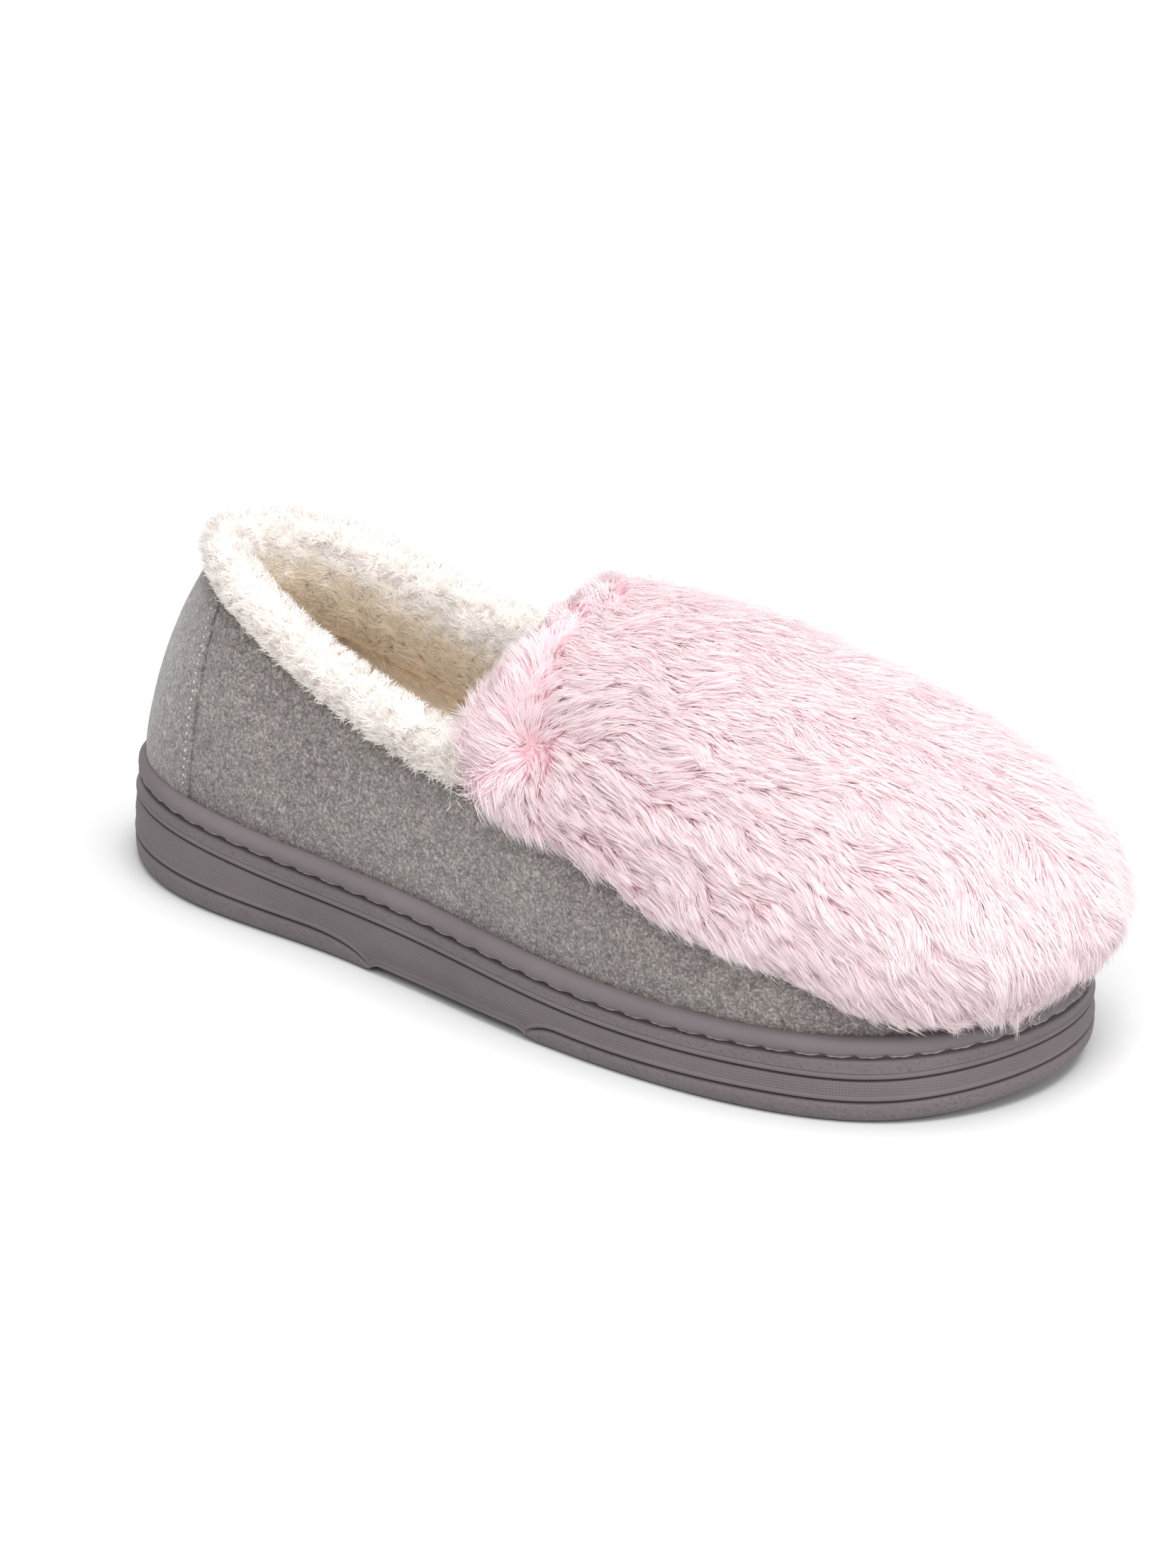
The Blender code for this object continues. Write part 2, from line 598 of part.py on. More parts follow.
def main():
    for obj in list(bpy.data.objects):
        bpy.data.objects.remove(obj)
    pieces = [make_outsole(), make_insole(), make_upper(), make_cuff(), make_fur_apron()]
    centre_on_footprint(pieces)


main()
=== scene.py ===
# %% [markdown]
# # A fur-topped moccasin slipper
#
# A working model of the slipper gives the size and place of every part: a cup sole, an insole, a hollow suede
# upper, a fleece cuff and a thick fur top. This lesson dresses that model. The plain solids are replaced
# one by one with finer pieces, and each gets the material of the real thing: moulded rubber, suede, fleece
# and long combed fur.

import math

import bmesh
import bpy
import numpy as np
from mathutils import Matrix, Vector
from mathutils.bvhtree import BVHTree
from mathutils.kdtree import KDTree


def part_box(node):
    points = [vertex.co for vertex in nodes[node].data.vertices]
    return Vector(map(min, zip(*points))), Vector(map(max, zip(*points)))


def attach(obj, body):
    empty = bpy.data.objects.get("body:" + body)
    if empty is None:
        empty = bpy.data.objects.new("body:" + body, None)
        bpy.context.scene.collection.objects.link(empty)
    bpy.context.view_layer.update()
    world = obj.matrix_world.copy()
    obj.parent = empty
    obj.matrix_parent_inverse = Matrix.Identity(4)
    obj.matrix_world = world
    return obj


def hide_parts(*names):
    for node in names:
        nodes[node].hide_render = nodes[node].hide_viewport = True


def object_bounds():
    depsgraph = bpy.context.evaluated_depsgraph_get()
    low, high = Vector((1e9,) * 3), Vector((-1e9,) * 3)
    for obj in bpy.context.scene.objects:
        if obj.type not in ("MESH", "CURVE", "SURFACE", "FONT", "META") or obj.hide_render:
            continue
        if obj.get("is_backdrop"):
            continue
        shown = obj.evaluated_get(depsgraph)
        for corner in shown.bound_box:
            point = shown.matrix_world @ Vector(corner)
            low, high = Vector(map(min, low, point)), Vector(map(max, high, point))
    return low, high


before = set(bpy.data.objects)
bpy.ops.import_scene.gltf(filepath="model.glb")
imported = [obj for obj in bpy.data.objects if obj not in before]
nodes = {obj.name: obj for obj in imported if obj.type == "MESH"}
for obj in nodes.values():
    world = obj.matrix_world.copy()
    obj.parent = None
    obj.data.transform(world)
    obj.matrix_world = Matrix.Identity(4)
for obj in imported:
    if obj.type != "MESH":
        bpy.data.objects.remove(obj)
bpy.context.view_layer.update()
bpy.ops.object.select_all(action="DESELECT")
MM = 0.001

# %% [markdown]
# ## Camera, floor and light
#
# The slipper is seen from in front of its outer side and from above, with the toe to the right. A long lens
# from well over a metre keeps the heel and the toe nearly the same scale, as in catalogue pictures. The floor
# and the background are one white sheet. The main light hangs above, a little towards the toe, and is wide,
# so that a soft shadow lies round the sole. A lamp at the toe and a reflector in front fill the side. Pale
# pile is lit mostly by light that other hairs have scattered, so a ray may bounce eight times.

# %% Camera
CAMERA_AZIMUTH = math.radians(31.7)
CAMERA_ELEVATION = math.radians(25.3)
CAMERA_DISTANCE = 1.36
LENS = 127.0
low_corner, high_corner = (Vector(corner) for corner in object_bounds())
middle = (low_corner + high_corner) / 2
aim = Vector((middle.x - 0.003, middle.y, middle.z - 0.004))
to_camera = Vector((
    math.sin(CAMERA_AZIMUTH) * math.cos(CAMERA_ELEVATION),
    -math.cos(CAMERA_AZIMUTH) * math.cos(CAMERA_ELEVATION),
    math.sin(CAMERA_ELEVATION),
))
bpy.ops.object.camera_add(location=aim + to_camera * CAMERA_DISTANCE)
camera = bpy.context.object
camera.name = "camera"
camera.rotation_euler = to_camera.to_track_quat("Z", "Y").to_euler()
camera.data.lens = LENS
bpy.context.scene.camera = camera
print("camera at", [round(value, 3) for value in camera.location])


# %% [markdown]
# Shader maths reads best as ordinary sums. A small class wraps a socket, so that `noise * 0.5 + 0.2` adds the
# two Math nodes itself. Every other node comes from one method, `add`, which takes a node's type, its
# settings and the values or links of its inputs.


# %% Node helpers
class Wire:
    """A shader socket that can be used in sums."""

    def __init__(self, tree, socket):
        self.tree = tree
        self.socket = socket

    def _math(self, operation, *values):
        return self.tree.add("ShaderNodeMath", {"operation": operation}, dict(enumerate(values)))

    def __add__(self, other):
        return self._math("ADD", self, other)

    def __mul__(self, other):
        return self._math("MULTIPLY", self, other)

    def __sub__(self, other):
        return self._math("SUBTRACT", self, other)

    def __rsub__(self, other):
        return self._math("SUBTRACT", other, self)

    __radd__ = __add__
    __rmul__ = __mul__


class Finish:
    """A material's node tree, with its Principled shader."""

    def __init__(self, name, roughness=0.9, **constants):
        self.material = bpy.data.materials.new(name)
        self.material.use_nodes = True
        self.nodes = self.material.node_tree.nodes
        self.links = self.material.node_tree.links
        self.shader = self.nodes["Principled BSDF"]
        self.shader.inputs["Roughness"].default_value = roughness
        for socket, value in constants.items():
            self.shader.inputs[socket.replace("_", " ")].default_value = value

    def put(self, socket, value):
        if isinstance(value, Wire):
            self.links.new(value.socket, socket)
        else:
            socket.default_value = value

    def add(self, kind, settings=(), inputs=(), output=0):
        node = self.nodes.new(kind)
        for key, value in dict(settings).items():
            if key == "stops":
                ramp = node.color_ramp
                while len(ramp.elements) < len(value):
                    ramp.elements.new(0.5)
                for element, (place, colour) in zip(ramp.elements, value):
                    element.position = place
                    element.color = colour
            else:
                setattr(node, key, value)
        for key, value in dict(inputs).items():
            self.put(node.inputs[key], value)
        return Wire(self, node.outputs[output])

    def set(self, **wires):
        for socket, value in wires.items():
            self.put(self.shader.inputs[socket.replace("_", " ")], value)

    def here(self):
        return self.add("ShaderNodeTexCoord", output="Object")

    def noise(self, where, size, detail=3.0, roughness=0.55, output=0):
        """Noise whose blobs are about this size, in metres."""
        inputs = {"Vector": where, "Scale": 1.0 / size, "Detail": detail, "Roughness": roughness}
        return self.add("ShaderNodeTexNoise", inputs=inputs, output=output)

    def cells(self, where, size):
        """Soft round cells of about this size, in metres."""
        inputs = {"Vector": where, "Scale": 1.0 / size}
        return self.add("ShaderNodeTexVoronoi", {"feature": "SMOOTH_F1"}, inputs, "Distance")

    def ramp(self, factor, *stops):
        return self.add("ShaderNodeValToRGB", {"stops": stops}, {"Fac": factor})

    def mix(self, factor, first, second, blend="MIX"):
        settings = {"data_type": "RGBA", "blend_type": blend}
        return self.add("ShaderNodeMix", settings, {0: factor, 6: first, 7: second}, 2)

    def bump(self, height, depth, strength=1.0):
        """Bumps this deep, in metres, where height runs from 0 to 1."""
        inputs = {"Height": height, "Distance": depth, "Strength": strength}
        self.set(Normal=self.add("ShaderNodeBump", inputs=inputs))


def rgb(red, green, blue):
    """A colour from the usual 0-255 values, made linear, with full alpha."""
    share = (np.array((red, green, blue)) / 255.0).tolist()
    return (*(c / 12.92 if c <= 0.04045 else ((c + 0.055) / 1.055) ** 2.4 for c in share), 1.0)


# %% Floor and background
bpy.ops.mesh.primitive_plane_add(size=8.0, location=(0, 0, low_corner.z))
floor = bpy.context.object
floor.name = "floor"
bpy.ops.object.transform_apply(location=True)
paper = Finish("white_paper", roughness=0.9)
paper.set(Base_Color=(0.64, 0.64, 0.64, 1.0))
floor.data.materials.append(paper.material)
floor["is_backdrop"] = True

world = bpy.data.worlds.new("studio")
world.use_nodes = True
world.node_tree.nodes["Background"].inputs["Color"].default_value = (1.0, 1.0, 1.0, 1.0)
world.node_tree.nodes["Background"].inputs["Strength"].default_value = 0.55
bpy.context.scene.world = world
bpy.context.scene.view_settings.view_transform = "Standard"
bpy.context.scene.cycles.diffuse_bounces = 8


# %% Lights
def softbox(name, place, size, power):
    """A square light that points at the slipper."""
    bpy.ops.object.light_add(type="AREA", location=place)
    lamp = bpy.context.object
    lamp.name = name
    lamp.data.shape = "SQUARE"
    lamp.data.size = size
    lamp.data.energy = power
    lamp.rotation_euler = (Vector(place) - aim).to_track_quat("Z", "Y").to_euler()
    return lamp


SKY_SOFTNESS = math.radians(38)
bpy.ops.object.light_add(type="SUN", location=(0.1, 0.1, 1.0))
ceiling = bpy.context.object
ceiling.name = "ceiling_light"
ceiling.data.energy = 2.8
ceiling.data.angle = SKY_SOFTNESS
ceiling.rotation_euler = Vector((0.22, 0.0, 1.0)).to_track_quat("Z", "Y").to_euler()
softbox("toe_light", (1.45, -0.50, 0.85), 0.8, 8.0)
softbox("reflector", (0.25, -0.90, 1.25), 0.8, 9.0)

# %% [markdown]
# ## Walking round the sole
#
# The outline of the working model's sole is where every other line starts: the grooves, the lip and the
# stitches all run parallel to it. It is found with rays, shot from outside towards a line down the
# middle of the sole. The working model is made of flat facets, so the ring of hits is evened out a little.

# %% The outline of the sole
COLUMNS = 400
depsgraph = bpy.context.evaluated_depsgraph_get()
sole_tree = BVHTree.FromObject(nodes["outsole"], depsgraph)
upper_tree = BVHTree.FromObject(nodes["upper"], depsgraph)
sole_low, sole_high = (np.array(corner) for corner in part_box("outsole"))
sole_length = sole_high[0] - sole_low[0]
HEEL_CENTRE = sole_low[0] + 0.125 * sole_length
TOE_CENTRE = sole_high[0] - 0.19 * sole_length
HEEL_RAYS, WAIST_RAYS, BALL_RAYS, TOE_RAYS = 12.5 * MM, 9.8 * MM, 8.6 * MM, 11.6 * MM  # clear of the grooves


def even_ring(points, count):
    """Points at equal steps round a closed ring."""
    closed = np.vstack([points, points[:1]])
    steps = np.r_[0, np.cumsum(np.linalg.norm(np.diff(closed, axis=0), axis=1))]
    wanted = np.linspace(0, steps[-1], count, endpoint=False)
    return np.stack([np.interp(wanted, steps, closed[:, axis]) for axis in range(closed.shape[1])], -1)


def soften(values, width):
    """A running average round a ring, width columns wide each way."""
    reach = np.arange(-3 * width, 3 * width + 1)
    weights = np.exp(-0.5 * (reach / width) ** 2)
    weights /= weights.sum()
    return sum(w * np.roll(values, shift, axis=0) for w, shift in zip(weights, reach))


def hit_wall(centre_x, angle):
    """Where a ray towards the sole's middle line meets its wall."""
    height = np.interp(centre_x, (HEEL_CENTRE, 0.0, TOE_CENTRE), (HEEL_RAYS, WAIST_RAYS, BALL_RAYS))
    if centre_x == TOE_CENTRE:
        height += (TOE_RAYS - BALL_RAYS) * max(math.cos(angle), 0.0) ** 2
    away = Vector((math.cos(angle), math.sin(angle), 0.0))
    start = Vector((centre_x, 0.0, sole_low[2] + height)) + away * sole_length
    place = sole_tree.ray_cast(start, -away)[0]
    return place.x, place.y


def fan(centre_x, first, last, count):
    """Rays at even angles round one centre. Angles are in half turns."""
    angles = np.linspace(first * math.pi, last * math.pi, count, endpoint=False)
    return [(centre_x, angle) for angle in angles]


def comb_of_rays(first_x, last_x, half_turns, count):
    """Side by side rays, all at one angle."""
    return [(x, half_turns * math.pi) for x in np.linspace(first_x, last_x, count, endpoint=False)]


rays = fan(HEEL_CENTRE, 1.0, 1.5, 90) + comb_of_rays(HEEL_CENTRE, TOE_CENTRE, 1.5, 120)
rays += fan(TOE_CENTRE, -0.5, 0.5, 180) + comb_of_rays(TOE_CENTRE, HEEL_CENTRE, 0.5, 120)
rays += fan(HEEL_CENTRE, 0.5, 1.0, 90)
hits = [hit_wall(*ray) for ray in rays]
outline = even_ring(soften(even_ring(np.array(hits), COLUMNS), 3), COLUMNS)
along_ring = np.roll(outline, -1, axis=0) - np.roll(outline, 1, axis=0)
outward = np.stack([along_ring[:, 1], -along_ring[:, 0]], -1)
outward /= np.linalg.norm(outward, axis=1, keepdims=True)
station = (outline[:, 0] - sole_low[0]) / sole_length
walk = np.r_[0, np.cumsum(np.linalg.norm(np.diff(np.vstack([outline, outline[:1]]), axis=0), axis=1))]
print("round the sole, mm:", round(walk[-1] / MM))

# %% [markdown]
# ## The moulded sole
#
# On the real slipper the sole is one piece of foamed rubber. From the top down it has a smooth rounded lip, a
# slot with the thread that holds the suede, a grained band, a band with fine diamonds, and the tread blocks,
# grained again. Each band ends in a smooth bead that overhangs the groove under it, which is why the grooves
# look like thin black lines. A lathe can't make it, because the heights change along the foot. So a circle is
# added, its points are laid on the outline, and the wall grows from it by extruding the ring again and again.

# %% Heights of the sole's lines
STATIONS = (0.0, 0.09, 0.26, 0.43, 0.65, 0.78, 0.91, 1.0)
TREAD_LINE = (7.2, 7.4, 6.4, 6.8, 5.2, 5.7, 6.3, 9.2)
MIDDLE_LINE = (18.3, 18.5, 15.0, 13.7, 11.2, 11.4, 12.0, 15.0)
STITCH_LINE = (24.0, 24.0, 20.7, 19.1, 16.4, 16.8, 17.8, 20.0)
LIP_LINE = (28.4, 28.3, 25.0, 23.5, 21.0, 21.0, 22.2, 24.5)
HEEL_BLOCK_ENDS = (0.275, 0.352)  # the line over the heel block dips to the ground here
FORE_BLOCK_STARTS = (0.548, 0.585)  # and rises again here
WAIST_EDGE = 0.9
WAIST_RISE, TOE_SPRING, HEEL_LIFT = 2.6, 4.0, 1.0
WAIST_FROM, WAIST_TO, WAIST_RAMP = 0.345, 0.560, 0.022
SPRING_FROM, LIFT_TO = 0.86, 0.05
HEEL_LEAN, LEAN_TO = 1.4, 0.14


def ease(t):
    t = np.clip(t, 0.0, 1.0)
    return t * t * (3 - 2 * t)


def line_height(line, at):
    """A smooth curve through one line's heights."""
    xs, ys = np.array(STATIONS), np.array(line)
    slopes = np.gradient(ys, xs)
    k = np.clip(np.searchsorted(xs, at, side="right") - 1, 0, len(xs) - 2)
    width = xs[k + 1] - xs[k]
    t = np.clip((at - xs[k]) / width, 0, 1)
    rise = (1 + 2 * t) * (1 - t) ** 2 * ys[k] + t * (1 - t) ** 2 * width * slopes[k]
    return rise + t * t * (3 - 2 * t) * ys[k + 1] + t * t * (t - 1) * width * slopes[k + 1]


def underside(at):
    waist = ease((at - WAIST_FROM) / WAIST_RAMP) * ease((WAIST_TO - at) / WAIST_RAMP)
    spring = np.clip((at - SPRING_FROM) / (1 - SPRING_FROM), 0, 1) ** 2
    lift = np.clip((LIFT_TO - at) / LIFT_TO, 0, 1) ** 2
    return WAIST_RISE * waist + TOE_SPRING * spring + HEEL_LIFT * lift


def quarter(at, full, gone):
    """1 at full, falling to 0 at gone like a quarter of an ellipse."""
    return np.sqrt(1 - np.clip((at - full) / (gone - full), 0, 1) ** 2)


under = underside(station)
block = np.maximum(
    np.where(station < 0.45, quarter(station, *HEEL_BLOCK_ENDS), 0),
    np.where(station > 0.45, quarter(station, *FORE_BLOCK_STARTS[::-1]), 0),
)
tread = under + WAIST_EDGE + (line_height(TREAD_LINE, station) - under - WAIST_EDGE) * block
middle_line = line_height(MIDDLE_LINE, station)
stitch_line = line_height(STITCH_LINE, station)
lip = line_height(LIP_LINE, station)
lean = HEEL_LEAN * (1 - ease(station / LEAN_TO))
print("lip height, mm: heel", round(lip[0], 1), "lowest", round(lip.min(), 1))

# %% The stitches' places, and how the lip gives under them
STITCH_PITCH = 7.6 * MM
stitch_count = round(walk[-1] / STITCH_PITCH)
stitch_step = walk[-1] / stitch_count
pull = np.abs(np.cos(math.pi * walk[:-1] / stitch_step)) ** 6


# %% The wall of the sole, ring by ring
def wall_rings():
    """(inset, height, grain, diamonds) in mm for each ring, from the underside to the footbed."""
    rings = []
    for inset, share in ((3.0, 0.0), (1.6, 0.03), (0.75, 0.12), (0.25, 0.27), (0.05, 0.5), (0.0, 0.75)):
        rings.append((inset, under + share * (tread - 0.75 - under), 1.0, 0.0))
    rings.append((0.05, tread - 0.75, 1.0, 0.0))
    groove = 0.25 + 1.1 * block
    rings.append((0.1 + 0.15 * block, tread - 0.5, 0.0, 0.0))
    rings.append((groove, tread - 0.32, 0.0, 0.0))
    rings.append((groove, tread + 0.12, 0.0, 0.0))
    for inset, rise in ((0.1, 0.3), (-0.05, 0.65), (-0.02, 1.1), (0.2, 1.45)):
        rings.append((0.15 + (inset - 0.15) * block, tread + rise, 0.0, 0.0))
    rings.append((0.25 * block, tread + 1.7, 0.0, 1.0))
    rings.append((0.25, (tread + middle_line) / 2, 0.0, 1.0))
    rings.append((0.3 + 0.4 * lean, middle_line - 0.8, 0.0, 1.0))
    wall = 0.4 * lean
    bead = ((0.45, -0.5), (1.5, -0.32), (1.5, 0.12), (0.3, 0.3), (0.08, 0.65), (0.1, 1.1), (0.36, 1.45))
    for inset, rise in bead:
        rings.append((inset + wall, middle_line + rise, 0.0, 0.0))
    rings.append((0.42 + wall, middle_line + 1.7, 1.0, 0.0))
    rings.append((0.5 + 0.6 * lean, (middle_line + stitch_line) / 2, 1.0, 0.0))
    wall = 0.8 * lean
    rings.append((0.55 + wall, stitch_line - 1.3, 1.0, 0.0))
    rings.append((0.7 + wall, stitch_line - 0.95, 0.0, 0.0))
    rings.append((2.1 + wall, stitch_line - 0.7, 0.0, 0.0))
    rings.append((2.3 + wall, stitch_line + 0.3, 0.0, 0.0))
    edge = 0.14 * pull
    rings.append((0.75 + wall + 2.0 * edge, stitch_line + 0.35 + edge, 0.0, 0.0))
    rings.append((0.25 + wall + 2.0 * edge, stitch_line + 0.75 + edge, 0.0, 0.0))
    rings.append((0.12 + lean + edge, stitch_line + 1.4, 0.0, 0.0))
    rings.append((0.15 + lean, (stitch_line + lip) / 2, 0.0, 0.0))
    for inset, rise in ((0.5, -1.5), (1.1, -0.7), (2.0, -0.2)):
        rings.append((inset + 0.8 * lean, lip + rise, 0.0, 0.0))
    for inset, rise in ((3.2, 0.0), (3.9, -0.25), (4.3, -0.9), (4.4, -3.0), (4.4, -9.0)):
        rings.append((inset, lip + rise, 0.0, 0.0))
    return rings


bpy.ops.mesh.primitive_circle_add(vertices=COLUMNS, radius=0.1)
sole = bpy.context.object
sole.name = "moulded_sole"
bpy.ops.object.mode_set(mode="EDIT")
sole_mesh = bmesh.from_edit_mesh(sole.data)
column_of = sole_mesh.verts.layers.int.new("column")
for name in ("grain", "diamonds"):
    sole_mesh.verts.layers.float.new(name)
sole_mesh.verts.ensure_lookup_table()
for number, vertex in enumerate(sole_mesh.verts):
    vertex[column_of] = number
bpy.ops.mesh.select_all(action="SELECT")
for number, (inset, height, grain, diamonds) in enumerate(wall_rings()):
    if number:
        bpy.ops.mesh.extrude_region_move()
    sole_mesh = bmesh.from_edit_mesh(sole.data)
    column_of = sole_mesh.verts.layers.int["column"]
    marks = (sole_mesh.verts.layers.float["grain"], sole_mesh.verts.layers.float["diamonds"])
    place = outline - outward * (np.broadcast_to(inset, station.shape) * MM)[:, None]
    level = sole_low[2] + np.broadcast_to(height, station.shape) * MM
    for vertex in sole_mesh.verts:
        if vertex.select:
            column = vertex[column_of]
            vertex.co = (*place[column], level[column])
            vertex[marks[0]], vertex[marks[1]] = grain, diamonds
    bmesh.update_edit_mesh(sole.data)


def close_ring():
    """Close the selected ring with a strip from one side of the foot to the other."""
    ring_mesh = bmesh.from_edit_mesh(sole.data)
    layer = ring_mesh.verts.layers.int["column"]
    ends = ({0, COLUMNS - 1}, {COLUMNS // 2 - 1, COLUMNS // 2})
    for edge in ring_mesh.edges:
        if edge.select and {vertex[layer] for vertex in edge.verts} in ends:
            edge.select_set(False)
    bmesh.update_edit_mesh(sole.data)
    bpy.ops.mesh.bridge_edge_loops()


bpy.ops.mesh.select_mode(type="EDGE")
close_ring()
bpy.ops.mesh.select_all(action="DESELECT")
sole_mesh = bmesh.from_edit_mesh(sole.data)
for edge in sole_mesh.edges:
    edge.select_set(edge.is_boundary)
close_ring()
bpy.ops.mesh.select_mode(type="VERT")
bpy.ops.mesh.select_all(action="SELECT")
bpy.ops.mesh.normals_make_consistent(inside=False)
bpy.ops.object.mode_set(mode="OBJECT")
print("sole faces:", len(sole.data.polygons))

# %% [markdown]
# ## Grooves under the sole
#
# Both blocks of the sole have grooves across them, so that the sole bends and grips. They could be drawn as a
# bump, but then the sole's edge would stay straight, so one bar for each groove is cut out with a Boolean.


# %% Grooves under the sole
def pick(*pieces):
    """Select these pieces only, and make the first one active."""
    bpy.ops.object.select_all(action="DESELECT")
    for piece in pieces:
        piece.select_set(True)
    bpy.context.view_layer.objects.active = pieces[0]


def apply_modifier(piece, kind, **settings):
    """Add a modifier, set it up and apply it."""
    pick(piece)
    modifier = piece.modifiers.new(kind.lower(), kind)
    for key, value in settings.items():
        setattr(modifier, key, value)
    bpy.ops.object.modifier_apply(modifier=modifier.name)


BAR_WIDTH, BAR_DEPTH, BAR_MARGIN = 3.0 * MM, 1.6 * MM, 12.0 * MM
HEEL_BARS, FORE_BARS = (0.06, 0.27, 3), (0.62, 0.90, 5)
bars = []
for at in [*np.linspace(*HEEL_BARS), *np.linspace(*FORE_BARS)]:
    x = sole_low[0] + at * sole_length
    level = sole_low[2] + float(underside(np.array(at))) * MM
    reach = [abs(p[1]) for p in outline if abs(p[0] - x) < 2 * MM]
    bpy.ops.mesh.primitive_cube_add(size=1.0, location=(x, 0.0, level))
    bpy.context.object.scale = (BAR_WIDTH, 2 * (min(reach) - BAR_MARGIN), 2 * BAR_DEPTH)
    bpy.ops.object.transform_apply(location=True, scale=True)
    bars.append(bpy.context.object)
pick(*bars)
bpy.ops.object.join()
cutter = bars[0]
apply_modifier(sole, "BOOLEAN", operation="DIFFERENCE", solver="EXACT", object=cutter)
bpy.data.objects.remove(cutter)


# %% A map that runs along the wall
def mesh_values(items, key, width, kind=np.float32):
    """One property of all of a mesh's points, corners or faces, as an array."""
    values = np.empty(width * len(items), kind)
    items.foreach_get(key, values)
    return values.reshape(-1, width) if width > 1 else values


def spots(mesh):
    return mesh_values(mesh.vertices, "co", 3)


corner_vertex = mesh_values(sole.data.loops, "vertex_index", 1, np.int32)
sizes = mesh_values(sole.data.polygons, "loop_total", 1, np.int32)
corner_face = np.repeat(np.arange(len(sizes)), sizes)
columns = mesh_values(sole.data.attributes["column"].data, "value", 1, np.int32)
run = walk[columns][corner_vertex]
longest = np.zeros(len(sole.data.polygons))
np.maximum.at(longest, corner_face, run)
run = np.where((longest[corner_face] > 0.8 * walk[-1]) & (run < 0.2 * walk[-1]), run + walk[-1], run)
wall_spots = np.stack([run, spots(sole.data)[corner_vertex, 2]], -1)
layer = sole.data.uv_layers.new(name="map")
layer.uv.foreach_set("vector", wall_spots.astype(np.float32).ravel())

# %% [markdown]
# ## Moulded rubber
#
# The rubber is a warm mauve grey with a dull sheen. The outer bands carry a leather grain, pressed in by the
# mould, and the middle band carries rows of small diamonds. Both could be modelled, but each grain is under
# a millimetre wide, so they are bumps. The two masks were painted on the rings while the wall was made, and
# the diamonds follow the map along the wall, so they stay upright all the way round.

# %% The sole's finish
rubber = Finish("moulded_rubber", roughness=0.6)
here = rubber.here()
grain_mask = rubber.add("ShaderNodeAttribute", {"attribute_name": "grain"}, output="Fac")
diamond_mask = rubber.add("ShaderNodeAttribute", {"attribute_name": "diamonds"}, output="Fac")
wall_map = rubber.add("ShaderNodeUVMap", {"uv_map": "map"})
grain = rubber.cells(here, 1.1 * MM)
grain_fine = rubber.noise(here, 0.7 * MM, detail=2.0)


def ridges(slant, pitch):
    """Rows of ridges on the wall's map, leaning by slant."""
    inputs = {0: wall_map, 1: (1.0, slant, 0.0)}
    across = rubber.add("ShaderNodeVectorMath", {"operation": "DOT_PRODUCT"}, inputs, "Value")
    return rubber.add("ShaderNodeMath", {"operation": "SINE"}, {0: across * (2 * math.pi / pitch)})


DIAMOND_PITCH, GRAIN_DEPTH = 1.5 * MM, 0.28 * MM
diamonds = ridges(1.0, DIAMOND_PITCH) * ridges(-1.0, DIAMOND_PITCH) * 0.5 + 0.5
leather = (grain * 0.8 + grain_fine * 0.6) * grain_mask
rubber.bump(leather + diamonds * diamond_mask * 0.55, GRAIN_DEPTH)
cloudy = rubber.noise(here, 22 * MM, detail=4.0)
body = rubber.mix(cloudy, rgb(97, 89, 92), rgb(114, 106, 109))
# The rubber is darker in the low spots of the grain.
pores = rubber.ramp(leather, (0.25, (0.62, 0.60, 0.60, 1.0)), (0.6, (1.0, 1.0, 1.0, 1.0)))
body = rubber.mix(grain_mask * 0.8, body, rubber.mix(1.0, body, pores, "MULTIPLY"))
rubber.set(Base_Color=body, Roughness=0.62 - grain_mask * 0.02 + cloudy * 0.06 + diamond_mask * 0.05)
sole.data.materials.append(rubber.material)
pick(sole)
bpy.ops.object.shade_smooth_by_angle(angle=math.radians(40))
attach(sole, "root")
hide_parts("outsole")
print("sole faces:", len(sole.data.polygons))

# %% [markdown]
# ## The thread in the slot
#
# A thick twisted thread holds the suede down in the slot under the lip. Only its runs show: each comes out
# of one hole and goes back in at the next. One run is modelled, an oval that turns as it is extruded, which
# gives the twist. It is then laid along the wall again and again as copies in one mesh.

# %% One run of thread
THREAD_RADIUS, THREAD_STEPS = 0.42 * MM, 14
THREAD_SHARE = 0.86  # how much of each step the thread shows for
TWIST = math.radians(28)  # of the thread, at each of its steps
bpy.ops.object.select_all(action="DESELECT")
bpy.ops.mesh.primitive_circle_add(vertices=6, radius=THREAD_RADIUS, fill_type="NGON")
thread = bpy.context.object
bpy.ops.object.mode_set(mode="EDIT")
bpy.ops.mesh.select_all(action="SELECT")
bpy.ops.transform.resize(value=(1.0, 0.62, 1.0))
rise = THREAD_SHARE * stitch_step / THREAD_STEPS
for number in range(THREAD_STEPS):
    bpy.ops.mesh.extrude_region_move(TRANSFORM_OT_translate={"value": (0, 0, rise)})
    pivot = (0.0, 0.0, (number + 1) * rise)
    bpy.ops.transform.rotate(value=TWIST, orient_axis="Z", center_override=pivot)
bpy.ops.mesh.select_all(action="SELECT")
bpy.ops.mesh.normals_make_consistent(inside=False)
bpy.ops.object.mode_set(mode="OBJECT")
thread_spots = spots(thread.data)
thread_faces = [tuple(face.vertices) for face in thread.data.polygons]
bpy.data.objects.remove(thread)


